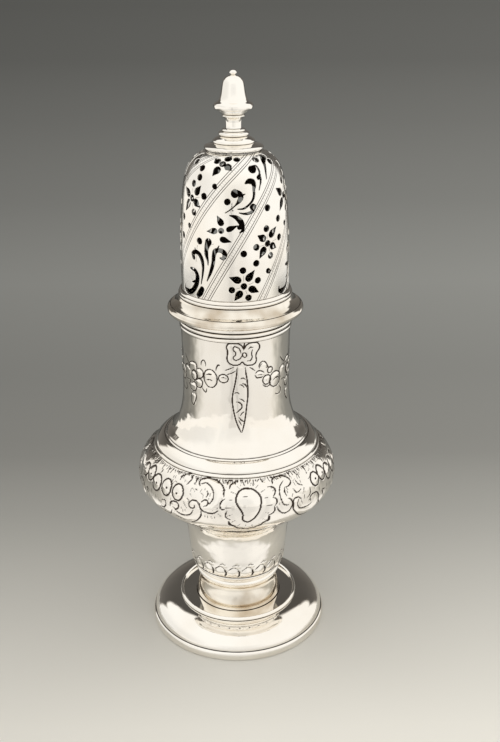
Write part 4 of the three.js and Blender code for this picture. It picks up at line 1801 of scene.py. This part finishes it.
    def floor_glow(self, graph: Graph, aside: Wire, radius: Wire, facing: Wire) -> tuple[Wire, Wire]:
        """The light of the floor as the silver mirrors it.

        Args:
            graph: The floor's material.
            aside: How far to the right a place lies.
            radius: How far from the axis it lies.
            facing: How squarely it lies in front.

        Returns:
            How much of the place is lit, and how strong the light is.
        """
        beyond = graph.ease(radius, *self.far_start) * graph.ease(facing, *self.far_edge)
        wide = radius - (1.0 - graph.ease(facing, *self.foot_edge)) * self.foot_shade
        close = graph.ease(wide, *self.close_start) * (1.0 - graph.ease(radius, *self.close_end))
        close = close * graph.ease(facing, *self.close_edge)
        front = graph.ease(wide, *self.front_start) * graph.ease(facing, *self.front_edge)
        lit = graph.largest(beyond, graph.largest(close, front))
        strength = self.glow + graph.largest(beyond * self.far_glow, close * self.close_glow)
        strength = strength - graph.ease(facing, *self.front_end) * self.front_dimming
        bearing = aside / graph.largest(radius, 0.001) * -1.0
        start, end = self.stripe_sides
        stripe = graph.ease(bearing, *start) * (1.0 - graph.ease(bearing, *end))
        stripe = stripe * graph.ease(facing, *self.stripe_edge) * graph.ease(radius, *self.stripe_start)
        return lit, strength - stripe * self.stripe_dimming

    def tint(self, place_y: float) -> Colour:
        """The tint of the floor's painted light at a place: warm in front and cool behind."""
        warmth = min(1.0, max(0.0, (0.3 - place_y) / 0.35))
        pairs = zip(self.near_tint, self.far_tint, strict=True)
        return tuple(warm * warmth + cool * (1 - warmth) for warm, cool in pairs)

    def daylight(self) -> None:
        """Makes the soft surroundings: a bright front and a dim room behind."""
        world = bpy.data.worlds.new("studio")
        world.use_nodes = True
        bpy.context.scene.world = world
        graph = Graph(world.node_tree)
        way = graph.node("ShaderNodeTexCoord", output="Generated")
        parts = graph.parts(way)
        flatness = graph.math("SQRT", parts["X"] ** 2.0 + parts["Y"] ** 2.0)
        facing = parts["Y"] / graph.largest(flatness, 0.001) * -1.0
        front = graph.ease(facing, *self.room_edge)
        behind = graph.ease(facing * -1.0, 0.7, 1.0)
        high = graph.ease(parts["Z"] - behind * self.room_rise, *self.room_height)
        lit = graph.largest(front, high)
        low, top = self.room_light
        inputs = {0: parts["Z"], 1: 0.0, 2: self.room_light_height, 3: low, 4: top}
        dusk = graph.node("ShaderNodeMapRange", None, inputs)
        warm_light = graph.blend(lit, self.room_tint, self.sky_tint)
        ahead = graph.ease(facing, 0.8, 1.0) * (1.0 - graph.ease(parts["Z"], 0.1, 0.5))
        left = graph.ease(parts["X"] * -1.0, 0.5, 0.95) * (1.0 - graph.ease(parts["Z"], 0.3, 0.8))
        glow = self.sky_glow - ahead * self.ahead_dimming - left * self.left_dimming
        strength = graph.node("ShaderNodeMix", {"data_type": "FLOAT"}, {0: lit, 2: dusk, 3: glow})
        shown = graph.node("ShaderNodeBackground", None, {"Color": warm_light, "Strength": strength})
        graph.node("ShaderNodeOutputWorld", None, {"Surface": shown})

    def camera(self) -> None:
        """Places the camera where the photo was taken from."""
        pitch, yaw, roll = (math.radians(value) for value in (self.pitch, self.yaw, self.roll))
        ahead = Vector((math.sin(yaw) * math.cos(pitch), math.cos(yaw) * math.cos(pitch), math.sin(pitch)))
        right = ahead.cross(Vector((0, 0, 1))).normalized()
        up = right.cross(ahead)
        turned_right = right * math.cos(roll) + up * math.sin(roll)
        turned_up = up * math.cos(roll) - right * math.sin(roll)
        data = bpy.data.cameras.new("camera")
        data.lens = self.lens
        data.sensor_width = self.sensor
        data.sensor_fit = "AUTO"
        data.clip_start, data.clip_end = self.clip
        made = linked("camera", data)
        turned = Matrix((turned_right, turned_up, -ahead)).transposed().to_4x4()
        made.matrix_world = Matrix.Translation(self.camera_place) @ turned
        bpy.context.scene.camera = made


ROSETTE_DOT = 2.2
PETAL_WIDTH = 2.45


def petal(body: WidePoint, tip: Point, panel: int) -> Opening:
    """A pointed petal sawn beside a flower's middle.

    Args:
        body: The petal's widest place, in shares across and up the panel, and its width in millimetres.
        tip: Its point.
        panel: The panel.

    Returns:
        The opening.
    """
    across, up, width = body
    steps = ((-0.1, 0.94), (0.0, 1.0), (0.3, 0.86), (0.62, 0.5), (1.0, 0.1))
    lean, rise = tip[0] - across, tip[1] - up
    return Opening([(across + lean * s, up + rise * s, width * share) for s, share in steps], panel)


def rosette(centre: Point, petals: Sequence[tuple[Point, Point]], dots: Sequence[Point]) -> list[Opening]:
    """A sawn rosette on the first panel: a round middle, petals and dots between them."""
    found = [Opening([(*centre, ROSETTE_DOT)])]
    found += [petal((*body, PETAL_WIDTH), tip, 0) for body, tip in petals]
    return found + [Opening([(*dot, ROSETTE_DOT)]) for dot in dots]


ROSETTE_PLANS = (
    (
        (0.026, 0.104),
        [
            ((0.031, 0.161), (0.054, 0.208)), ((-0.155, 0.148), (-0.315, 0.166)),
            ((0.21, 0.08), (0.363, 0.056)), ((0.027, 0.05), (0.01, 0.008)),
        ],
        [(-0.154, 0.212), (0.226, 0.137), (0.227, 0.024), (-0.146, 0.08)],
    ),
    (
        (0.053, 0.375),
        [
            ((0.053, 0.434), (0.101, 0.472)), ((-0.108, 0.414), (-0.235, 0.435)),
            ((0.032, 0.331), (0.032, 0.285)), ((0.2, 0.352), (0.31, 0.335)),
        ],
        [(-0.126, 0.473), (0.299, 0.399), (-0.144, 0.36), (0.246, 0.291)],
    ),
    (
        (0.086, 0.659),
        [
            ((-0.1, 0.686), (-0.293, 0.717)), ((0.105, 0.708), (0.094, 0.748)),
            ((0.246, 0.636), (0.4, 0.61)), ((0.062, 0.62), (0.073, 0.567)),
        ],
        [(0.322, 0.685), (0.322, 0.572), (-0.12, 0.755)],
    ),
    (
        (0.045, 0.906),
        [
            ((-0.19, 0.928), (-0.34, 0.946)), ((-0.009, 0.951), (-0.06, 0.982)),
            ((0.25, 0.884), (0.4, 0.86)), ((0.099, 0.859), (0.135, 0.821)),
        ],
        [(0.235, 0.945), (-0.279, 0.862)],
    ),
)
LONE_DOTS = ((-0.31, 0.323), (0.018, 0.254), (-0.319, 0.606), (0.083, 0.523), (-0.1, 0.8))
ROSETTES = [
    *(opening for plan in ROSETTE_PLANS for opening in rosette(*plan)),
    *(Opening([(*dot, ROSETTE_DOT)]) for dot in LONE_DOTS),
    Opening([(0.345, 0.192, 1.7), (0.375, 0.186, 1.6)]),
    Opening([(0.37, 0.755, 1.7), (0.39, 0.75, 1.5)]),
    Opening([(0.375, 0.478, 1.7)]),
]
SCROLL_FLOWER = (0.061, 0.474)
SCROLLS = [
    Opening([(across, up, width * (1.5 if width < 1.3 else 1.2)) for across, up, width in path], 1)
    for path in (
        [
            (-0.146, 0.193, 0.49), (-0.017, 0.185, 1.3), (0.088, 0.153, 1.5), (0.143, 0.108, 1.6),
            (0.148, 0.067, 1.6), (0.097, 0.03, 1.5), (-0.042, 0.022, 1.2), (-0.13, 0.034, 0.8),
            (-0.17, 0.06, 0.4),
        ],
        [(0.11, 0.12, 0.5), (0.062, 0.104, 0.5), (0.02, 0.1, 0.2)],
        [
            (-0.172, 0.273, 1.3), (-0.225, 0.297, 1.1), (-0.192, 0.314, 0.95), (-0.09, 0.304, 1.1),
            (0.01, 0.275, 1), (0.11, 0.227, 0.7), (0.177, 0.176, 0.5), (0.251, 0.101, 0.2),
        ],
        [(-0.192, 0.314, 0.7), (-0.237, 0.34, 0.15)],
        [(-0.22, 0.392, 1.9)],
        [
            (-0.041, 0.395, 2.0), (-0.008, 0.351, 1.3), (0.056, 0.309, 0.94), (0.145, 0.268, 0.45),
            (0.191, 0.24, 0.2),
        ],
        [
            (0.332, 0.13, 0.2), (0.3, 0.207, 0.74), (0.252, 0.265, 0.8), (0.197, 0.308, 0.9),
            (0.175, 0.338, 1.06), (0.24, 0.346, 0.9), (0.329, 0.335, 1.04), (0.387, 0.312, 1.04),
            (0.385, 0.293, 0.83), (0.33, 0.295, 0.28),
        ],
        [(0.19, 0.335, 0.7), (0.184, 0.375, 0.15)],
        [(0.319, 0.068, 1.55), (0.317, 0.04, 1.8), (0.3, 0.018, 1.5)],
        [(-0.172, 0.66, 1.8)],
        [(*SCROLL_FLOWER, 1.6)],
        [
            (0.037, 0.574, 0.27), (0.148, 0.564, 0.83), (0.287, 0.536, 1.27), (0.375, 0.505, 1.34),
            (0.423, 0.478, 0.67), (0.402, 0.462, 0.2),
        ],
        [(0.37, 0.503, 1.0), (0.335, 0.497, 1.0)],
        [
            (-0.097, 0.776, 0.46), (-0.051, 0.787, 1.48), (0.031, 0.781, 1.5), (0.108, 0.759, 0.96),
            (0.158, 0.733, 0.62), (0.23, 0.7, 0.55), (0.269, 0.668, 0.48), (0.252, 0.637, 0.41),
            (0.198, 0.616, 0.4), (0.102, 0.614, 0.2),
        ],
        [
            (-0.145, 0.713, 2.4), (-0.053, 0.709, 1.45), (0.008, 0.689, 1.15), (0.027, 0.666, 0.92),
            (0.014, 0.64, 0.33), (-0.016, 0.614, 0.26), (-0.071, 0.59, 0.2),
        ],
        [(0.0, 0.7, 0.6), (0.045, 0.708, 0.15)],
        [
            (0.361, 0.622, 1.9), (0.395, 0.598, 0.76), (0.34, 0.584, 0.61), (0.257, 0.584, 0.4),
            (0.173, 0.59, 0.2),
        ],
        [
            (-0.164, 0.864, 2.4), (-0.109, 0.879, 0.7), (0.028, 0.848, 0.45), (0.095, 0.821, 0.5),
            (0.188, 0.788, 0.51), (0.242, 0.755, 0.29), (0.277, 0.727, 0.2),
        ],
        [(0.1, 0.82, 0.6), (0.103, 0.805, 0.93)],
        [
            (0.03, 0.95, 2.2), (0.06, 0.908, 1.37), (0.146, 0.87, 0.67), (0.238, 0.828, 0.47),
            (0.323, 0.789, 0.2),
        ],
        [(-0.217, 0.932, 2.0)],
        [(0.305, 0.898, 1.9)],
    )
] + [
    petal(body, tip, 1)
    for body, tip in (
        ((-0.041, 0.528, 2.1), (-0.174, 0.568)),
        ((0.185, 0.486, 1.8), (0.287, 0.509)),
        ((0.192, 0.417, 2.0), (0.35, 0.403)),
        ((-0.06, 0.47, 2.0), (-0.18, 0.464)),
    )
]


FINE_LINE_SHARES = (0.36, 0.5, 0.64)
ENGRAVED = [
    (0, *((x + (dot_x - x) * share, y + (dot_y - y) * share) for share in FINE_LINE_SHARES))
    for (x, y), _, dots in ROSETTE_PLANS[:3]
    for dot_x, dot_y in dots
] + [
    (1, (-0.02, 0.33), (0.02, 0.375), (0.075, 0.385)),
    (1, (-0.2, 0.35), (-0.15, 0.31), (-0.07, 0.25)),
    (1, (-0.05, 0.64), (0.0, 0.6), (0.05, 0.585)),
]


def chased(*points: Sequence[float], width: float = 0.5, depth: float = 0.13, stain: float = 1.0) -> Stroke:
    """A line sunk with a tracer, fading out at both ends."""
    faded = [(*point, 1.0) for point in points]
    faded[0] = (*points[0], 0.55)
    faded[-1] = (*points[-1], 0.55)
    return Stroke(faded, width, -depth, stain)


def bold(*points: Sequence[float]) -> Stroke:
    """A deeper, wider chased line."""
    return chased(*points, width=0.6, depth=0.17)


def low(*points: Sequence[float]) -> Stroke:
    """A broad line on the underside, which is seen nearly edge on."""
    return chased(*points, width=1.5, depth=0.3)


def fine(*points: Sequence[float]) -> Stroke:
    """A light line inside a form."""
    return chased(*points, width=0.38, depth=0.08, stain=0.8)


def closed(*points: Sequence[float], width: float = 0.5) -> Stroke:
    """A chased outline that comes back to its start."""
    return Stroke(points, width, -0.14, 1.0, True)


def ring(turn: float, along: float, wide: float, high: float, width: float = 0.5) -> Stroke:
    """A chased oval: its middle, its half width in degrees and its half height in millimetres."""
    turns = [FULL_TURN * step / 10 for step in range(10)]
    return closed(*((turn + wide * math.cos(t), along + high * math.sin(t)) for t in turns), width=width)


def swell(width: float, *points: Sequence[float], rise: float = 0.22) -> Stroke:
    """A form raised from behind, as wide as given at its middle."""
    return Stroke(points, width, rise, 0.0)


NECK_LINES = [
    closed(
        (6.5, 35.1), (8.7, 34.2), (12.9, 33.7), (17.1, 33.8), (20, 34.3), (21.3, 35.4), (20.7, 36.6),
        (21.1, 37.7), (22.9, 38.7), (24.6, 39.6), (24.3, 40.7), (22.8, 41.4), (17, 41.9), (11, 41.2),
        (7.9, 39.9), (6, 40.9), (1, 41.9), (-6.4, 41.9), (-8.6, 41.2), (-9.4, 40.4), (-8.5, 39.3),
        (-8.3, 38.5), (-8.8, 37.2), (-8.9, 36.1), (-7.6, 35), (-4.4, 34.2), (-0.4, 34), (3.7, 34.3),
        width=0.6,
    ),
    bold((8.6, 42), (8.3, 40.9), (7.9, 39.4)),
    chased(
        (5.1, 38.4), (4.4, 39.2), (2.9, 40.1), (0.7, 40.5), (-1.3, 40.7), (-2.6, 40.2), (-2, 39.2),
        (-0.2, 38.6), (-0.4, 37.8), (-2.3, 37.1), (-2.7, 36.5), (-0.3, 35.8), (2.4, 36), (4.7, 36.5),
        (6, 37.4),
    ),
    chased((12.4, 39.6), (14.7, 40.2), (17.5, 40.1)),
    chased((16.6, 39.4), (16.1, 38.4), (16.1, 37.6), (16.4, 36.6), (14.7, 35.5), (11.2, 35.4)),
    closed((6.9, 38.2), (8.8, 38.4), (10.1, 38.1), (10.8, 37.4), (9.7, 36.8), (7.8, 36.9)),
    chased(
        (1.2, 33.1), (0.7, 31.1), (-0.2, 28.9), (-1.8, 26.2), (-3.5, 23.6), (-4.2, 21.3), (-3.7, 19),
        (-2.4, 16.4), (-0.6, 13.8), (1.7, 11.6), (4.4, 9.6), width=0.6,
    ),
    chased(
        (9.4, 33), (10.1, 31), (11.2, 28.7), (11.9, 26), (12.1, 23.4), (11.6, 21.1), (10.6, 18.8),
        (9.7, 16.3), (8.4, 13.7), (7.1, 11.8), (5.2, 9.7), width=0.6,
    ),
    chased((4.5, 29.2), (7.3, 29.3), (9.6, 28.7)),
    bold((6.8, 27.3), (9.1, 26.9), (11.1, 25.7)),
    chased((3.6, 26.9), (5.9, 26.7), (8.1, 25.8)),
    chased((-1.6, 23.8), (0.7, 24.1), (3, 23.6)),
    chased((3.4, 21.8), (6.7, 21.2), (8.5, 20.5)),
    bold((0.2, 20.7), (3.4, 20.3), (5.4, 19.5), (5.5, 18.5), (2.4, 17.4), (0.1, 16.6)),
    bold((2.7, 14.8), (5, 13.9), (7.2, 13.3)),
    chased((4.2, 15.7), (6, 16.5), (7.7, 16.9)),
    chased((2.3, 13.8), (3.6, 13), (4.9, 12.2)),
    chased((-11.4, 32), (-6.8, 32.6), (-2.2, 33.3)),
    chased((-9.1, 30.6), (-4.5, 31.1), (-0.4, 32)),
    chased((13.8, 33), (16.6, 32.4), (19.5, 31.6)),
    ring(-13.2, 29, 5.1, 1.5),
    fine((-15.8, 29.2), (-12.9, 29.5), (-10.1, 29.1)),
    chased((-21.2, 31.7), (-20.4, 32.7), (-17.9, 33.8), (-16.5, 33.5)),
    ring(-27.7, 28.4, 7.9, 3.3),
    chased((-31.9, 29.6), (-28.6, 30), (-25.5, 30)),
    chased((-31.5, 27.8), (-27.8, 28.1), (-25.2, 27.9)),
    ring(-49.4, 27.9, 4.5, 1.8, 0.7),
    chased((-58.7, 29.6), (-57.6, 31.7), (-52, 32.7), (-46.8, 32.6), (-45, 31.2), (-45.8, 29.9)),
    chased((-45.1, 30.7), (-40.5, 31.1), (-36.9, 30.4), (-36.3, 28.8), (-39.6, 27.7), (-44.2, 27.4)),
    chased(
        (-45.6, 26.6), (-41.6, 27.3), (-37.7, 26.5), (-38.1, 25), (-42, 23.9), (-45.9, 24.1), (-47.2, 25.2)
    ),
    chased(
        (-55.2, 24.3), (-49.4, 25.3), (-46, 23.9), (-48.3, 22.3), (-52.9, 21.8), (-56.8, 22.8), (-56.1, 24)
    ),
    chased((-67.1, 27.6), (-67.8, 29.5), (-60.3, 31.2)),
    chased((-64, 25.3), (-56.8, 25.1), (-60, 23.4)),
    chased((-39.1, 32.5), (-38.3, 33.8), (-35.3, 34.6), (-33.2, 33.7), (-33, 32.5)),
    chased((-38.2, 24.3), (-36.5, 23.5), (-33.6, 23), (-32.2, 24.5)),
    chased(
        (-54.7, 21.2), (-55.9, 19.2), (-54.7, 17.7), (-51.7, 16.7), (-48.4, 18.4), (-47.2, 20.2),
        (-48.3, 21.7),
    ),
    fine((-51.8, 21.2), (-51.9, 17.6)),
    chased((20.5, 30.6), (23, 31.2), (27.1, 31), (30.3, 30.3)),
    chased((19.6, 30), (22, 28.8), (25.6, 28.7), (28.7, 28.8)),
    fine((22, 30), (25.6, 29.8), (29.2, 29.7)),
    chased((24.5, 32), (24.8, 33.6), (27.5, 34.4), (30.7, 34.2), (33.5, 33), (34.7, 31.9), (33, 31.9)),
    fine((25.5, 32.6), (26.5, 33.5), (28.6, 33.5)),
    ring(37.7, 30.7, 3.3, 1.1),
    ring(33.7, 27.4, 5.0, 1.7),
    fine((33.1, 27.5), (32.2, 27.2)),
    chased((28.8, 25.8), (32.6, 24.9), (36.7, 25), (38.8, 26)),
    ring(45.3, 26.7, 8.2, 2.8),
    chased((41.5, 26.7), (46.2, 27.3), (51.5, 26.6)),
    chased((45.7, 21.2), (49.3, 20.6), (54.1, 21.1), (54.7, 22.4), (52.5, 23.3)),
    chased((53.2, 34.1), (58.2, 32.3), (64.4, 30.9)),
    chased((59, 30.5), (64.4, 31.1)),
]
NECK_FORMS = [
    swell(3.4, (-5, 36, 0.8), (-2, 38, 1), (-5, 40.4, 0.8)),
    swell(3.4, (17, 36, 0.8), (15, 38, 1), (19, 40.4, 0.8)),
    swell(1.8, (8.8, 37.6), rise=0.3),
    swell(
        4.6, (5, 32.5, 0.45), (4.5, 29, 0.7), (4, 25, 0.95), (4, 21, 1), (4, 17, 0.8), (4.4, 13, 0.5),
        (4.7, 10.5, 0.2),
    ),
    swell(2.8, (-14.8, 29), (-11.6, 29)),
    swell(5.6, (-28.6, 28.4), (-26.6, 28.4), rise=0.34),
    swell(3.4, (-49.4, 27.9), rise=0.36),
    swell(2.6, (-54, 31.2), (-49, 31.3)),
    swell(2.6, (-42, 29.3), (-39, 29.3)),
    swell(2.4, (-43, 25.6), (-40, 25.6)),
    swell(2.6, (-54, 23.5), (-49, 23.6)),
    swell(2.8, (-62, 28.9), (-59, 28.4)),
    swell(3.0, (-51.6, 19.6), (-51.8, 18)),
    swell(2.0, (23, 29.9), (28, 29.8)),
    swell(2.0, (27, 33), (31, 32.8)),
    swell(2.0, (37.7, 30.7), rise=0.3),
    swell(3.0, (33.7, 27.4), rise=0.3),
    swell(4.8, (44.6, 26.7), (46, 26.7), rise=0.34),
]
BULB_LINES = [
    closed(
        (2.8, 45.8), (3, 47.8), (2.1, 49.2), (0.4, 50.9), (-0.7, 52.5), (-0.4, 54.3), (0.9, 55.8),
        (3.2, 56.7), (6, 56.8), (9.1, 56.4), (11.5, 55.2), (13, 53.7), (13.1, 51.7), (12.2, 49.2),
        (10.7, 47.4), (8.6, 45.8), (5.4, 44.6), width=0.72,
    ),
    fine((3, 54), (5.5, 54.1)),
    *(
        fine(
            (6.3 + 9.6 * math.cos(t), 50.4 + 7.4 * math.sin(t)),
            (6.3 + 12.8 * math.cos(t), 50.3 + 8.5 * math.sin(t)),
        )
        for t in np.arange(18) * FULL_TURN / 18
    ),
    bold((-4.4, 56.7), (-4.1, 57.9), (-2.3, 58.9), (-0.2, 59.6)),
    bold((-7.4, 54.2), (-7.8, 55.1), (-7.2, 56.2)),
    bold((-6.9, 53.3), (-8.7, 52.4), (-9.5, 51), (-8.8, 49.8), (-6.8, 49.7)),
    bold((-5.7, 49.2), (-6.4, 48), (-6.4, 47), (-4, 45.9)),
    low((-4.8, 44.9), (-4.1, 43.4), (-1.5, 42.8)),
    low((-1.2, 42.1), (0.4, 41.1), (2.2, 41.4)),
    low((2.4, 41.3), (4.3, 40.3), (6.4, 40.6), (7.0, 41.2)),
    low((7.4, 41.2), (9.0, 40.8), (10.6, 42)),
    low((10.8, 42.2), (12.6, 42.3), (14.2, 43.8)),
    low((14.8, 43.9), (17.2, 44.6), (17.4, 46.2)),
    bold((17, 46.7), (19.6, 47.2), (20.8, 48.3), (20.5, 49.6)),
    bold((20.9, 49.7), (22.2, 50.8), (22, 52), (20.2, 52.8)),
    bold((20.3, 53.1), (21.9, 54.2), (22.1, 55.6), (20.4, 56.4), (18.1, 56.5)),
    bold(
        (-22.3, 56.8), (-23.4, 57.6), (-22.9, 59.2), (-20.2, 60), (-15.7, 59.9), (-12, 59.3), (-9.1, 58),
        (-7.6, 55.9), (-7.7, 54.2),
    ),
    chased(
        (-21.9, 57.5), (-19.1, 58.1), (-16.3, 57.3), (-14, 55.6), (-13.4, 53.9), (-14.2, 52.3),
        (-15.6, 51.1),
    ),
    chased((-17.6, 55.4), (-16.8, 54.6), (-17.5, 53.4)),
    chased((-20.1, 51.4), (-19.1, 52.1), (-17.2, 52.3), (-16.2, 51.6), (-16.9, 50.6), (-18.5, 50.1)),
    bold((-21.3, 51.2), (-20.8, 49.6), (-18.9, 48.4), (-15.9, 47.8), (-13.3, 47.9), (-10.4, 49.1)),
    bold(
        (-23.9, 49.7), (-24.3, 48.9), (-25.9, 48.5), (-27.1, 49), (-27.6, 49.7), (-26.9, 50.7),
        (-24.9, 51.6), (-22.5, 51.3), (-21.5, 50.2),
    ),
    bold(
        (-20, 48.2), (-20.2, 46.6), (-22.1, 44.5), (-25.7, 42.4), (-29.8, 42), (-34.2, 42.4), (-37.7, 42.9)
    ),
    chased((-24.7, 48.1), (-26.5, 46.2), (-30.3, 44.9), (-34.6, 45.1), (-37.1, 45.9)),
    bold(
        (-37.7, 47), (-37, 46.1), (-35, 46.8), (-34.2, 48.1), (-35.4, 49.1), (-37.7, 49.1), (-40.1, 48.1),
        (-40.3, 46.4),
    ),
    chased((-31, 50.1), (-28.8, 48)),
    bold((-47.1, 47.7), (-44.3, 47.9), (-44, 46.3), (-46.9, 44.4), (-49.6, 44)),
    bold((-51.9, 43.6), (-48, 42.5), (-42, 42.7), (-39.4, 45.2)),
    ring(-35.6, 52.7, 3.7, 2.9, 0.7),
    Stroke([(-35.9, 52.3)], 0.95, -0.2),
    ring(-44.3, 52.9, 3.7, 3.0, 0.7),
    Stroke([(-43.6, 52.8)], 0.95, -0.2),
    ring(-53.1, 52.7, 3.9, 3.0, 0.7),
    Stroke([(-52.6, 52.5)], 0.95, -0.2),
    ring(-61, 54.3, 3.6, 2.8, 0.7),
    Stroke([(-60.4, 53.9)], 0.95, -0.2),
    ring(51.5, 53.7, 3.7, 2.5, 0.7),
    Stroke([(51.5, 53.7)], 0.95, -0.2),
    chased((-36.4, 57), (-36, 58.6), (-33.6, 60), (-30.9, 60.2)),
    chased((-29.5, 60), (-29.1, 58.2), (-30.9, 56.2)),
    bold(
        (21.7, 57.3), (22.1, 58.7), (25.5, 59.6), (29.6, 59.3), (32.6, 58.2), (33.5, 56.5), (31.7, 55.4),
        (29.2, 55.1),
    ),
    chased((28.4, 57.3), (25.8, 56), (24.4, 53.9), (24.7, 51.6), (26.4, 49.4), (29.3, 48.9)),
    chased((28.4, 55.2), (27.7, 53.9), (28.6, 52.2)),
    bold(
        (22, 49.3), (23.1, 47.7), (26.5, 46), (29.4, 46.3), (31, 47.6), (31.9, 49), (30.8, 50.6),
        (29.2, 51.2),
    ),
    bold(
        (38, 49.4), (35.3, 50.5), (33, 50.2), (32.2, 48.4), (32.4, 46.8), (35, 44.3), (40.6, 41.3),
        (46.8, 40.5), (53.1, 40.8), (55.5, 42.5), (53.7, 44.6), (52.8, 47.5), (51.2, 48.7), (47.6, 49.2),
        (45.2, 48.5), (45.4, 46.9),
    ),
    chased((36.1, 49.6), (35, 48.3), (36.1, 46.5), (40.4, 45.4), (44.7, 45.4), (46.7, 46)),
    chased((36.9, 56.4), (37.7, 55), (40.8, 53.7)),
    chased((33.5, 53.9), (35.4, 52.2), (38.7, 52.9)),
    chased((41.3, 52.9), (39.2, 50.9)),
    chased((45.7, 52.1), (44.8, 49.6), (42.5, 48.7)),
    bold((60.2, 47.7), (56.9, 48.2), (59, 45.3)),
]
BULB_FORMS = [
    swell(7.4, (6.4, 53.5, 1), (7.2, 50, 0.9), (6.4, 47.5, 0.6), rise=0.5),
    swell(
        3.4, (-5, 58, 0.6), (-6, 54, 0.9), (-6.5, 51, 1), (-5, 47, 1), (-1.5, 43.6, 1), (4.5, 41.4, 1),
        (11, 43, 1), (15.5, 46, 1), (18.4, 50, 1), (18.6, 54, 1), (17.5, 57.5, 0.6), rise=0.26,
    ),
    swell(
        3.0, (-22, 58.4, 0.6), (-17, 58.8, 1), (-11.5, 56.6, 1), (-10.6, 53, 0.9), (-13.6, 50, 0.6),
        rise=0.3,
    ),
    swell(
        2.8, (-12, 49.6, 0.5), (-18, 49.4, 0.9), (-23, 46.6, 1), (-29, 43.5, 1), (-37, 44.4, 0.7), rise=0.3
    ),
    swell(2.4, (-25.5, 50, 1), rise=0.3),
    swell(2.6, (-37.4, 47.6, 1), rise=0.3),
    swell(2.6, (-47, 46, 0.9), (-43.6, 44.6, 0.9), rise=0.28),
    swell(4.6, (-35.6, 52.7), rise=0.36),
    swell(4.8, (-44.3, 52.9), rise=0.36),
    swell(5.0, (-53.1, 52.7), rise=0.36),
    swell(4.8, (-61, 54.3), rise=0.36),
    swell(4.6, (51.5, 53.7), rise=0.36),
    swell(3.0, (24, 57.6, 0.7), (30, 57.4, 1), (28, 55, 0.6), rise=0.28),
    swell(2.8, (25, 55, 0.6), (25, 51.5, 0.9), (28, 47.6, 1), (29, 50, 0.7), rise=0.3),
    swell(3.2, (34, 48.6, 0.9), (36.5, 45, 1), (42, 43.2, 1), (49, 42.8, 1), (50.4, 46, 0.9), rise=0.3),
    swell(2.6, (-33, 58.6, 1), (-30.5, 57.6, 0.7), rise=0.28),
    swell(2.0, (40, 51.6, 0.8), (36, 53, 1), rise=0.24),
]
CUP_LINES = [
    chased((-0.4, 3.5), (1.0, 4.2), (1.7, 5.2), (1.2, 6.2), (0.2, 6.9), width=0.75, depth=0.22),
    fine((0.4, 7.1), (-2.4, 7.9), (-6.0, 8.0), (-9.5, 7.3), (-12.0, 6.4)),
    fine((-6.0, 8.9), (-2.0, 9.3), (2.0, 9.0)),
]
CUP_FORMS = [
    swell(3.4, (-7.4, 4.2, 0.8), (-7.0, 5.8, 1), (-7.6, 7.0, 0.7), rise=0.3),
    swell(1.4, (-4.0, 8.6, 0.9), (2.0, 8.4, 0.9), rise=0.12),
]
FRINGE_FORMS = [swell(1.6, (-60, 57.9), (0, 57.9), (59, 57.9), rise=0.04)]


DEGREE = 0.6
MATTING_STROKES = 120
MATTING_CLEARANCE = 0.9


def fringe() -> list[Stroke]:
    """Short uneven strokes all round under the shoulder moulding."""
    dice = random.Random(11)
    found = []
    turn = -60.0
    while turn < 58.5:
        top = 59.9 + dice.uniform(-0.2, 0.1)
        length = dice.uniform(0.6, 2.1)
        lean = dice.uniform(-1.2, 1.2)
        stroke = Stroke(
            [(turn + lean, top - length, 0.5), (turn, top, 1.0)], 0.55, -0.1, dice.uniform(0.7, 1.0),
        )
        found.append(stroke)
        turn += dice.uniform(0.9, 2.0)
    return found


def matting() -> list[Stroke]:
    """Light short strokes that roughen the ground between the chased lines of the bulb."""
    dice = random.Random(5)
    lines = [smooth_line(stroke.points, 1.0, stroke.closed)[:, :2] for stroke in BULB_LINES]
    taken = np.vstack(lines) * [DEGREE, 1.0]
    found = []
    while len(found) < MATTING_STROKES:
        turn, along = dice.uniform(-59, 59), dice.uniform(46.5, 58)
        inside = abs(turn - 6.5) < 12 and along < 57
        if inside or np.hypot(*(taken - (turn * DEGREE, along)).T).min() < MATTING_CLEARANCE:
            continue
        heading = dice.uniform(-0.9, 0.9) + (1.2 if turn > 0 else -1.2)
        length = dice.uniform(0.5, 1.3)
        end = (turn + length * math.cos(heading) / DEGREE, along + length * math.sin(heading))
        found.append(Stroke([(turn, along), end], 0.34, -0.06, dice.uniform(0.5, 0.8)))
    return found


def main() -> None:
    """Builds the caster and its studio and puts every piece in the frame."""
    bpy.context.scene.view_settings.view_transform = "Standard"
    for part in (Foot(), Baluster(), Cover(), Finial(), Studio()):
        part.build()
        log.info("%s is built", type(part).__name__)


if __name__ == "__main__":
    logging.basicConfig(level=logging.INFO, format="%(message)s")
    main()
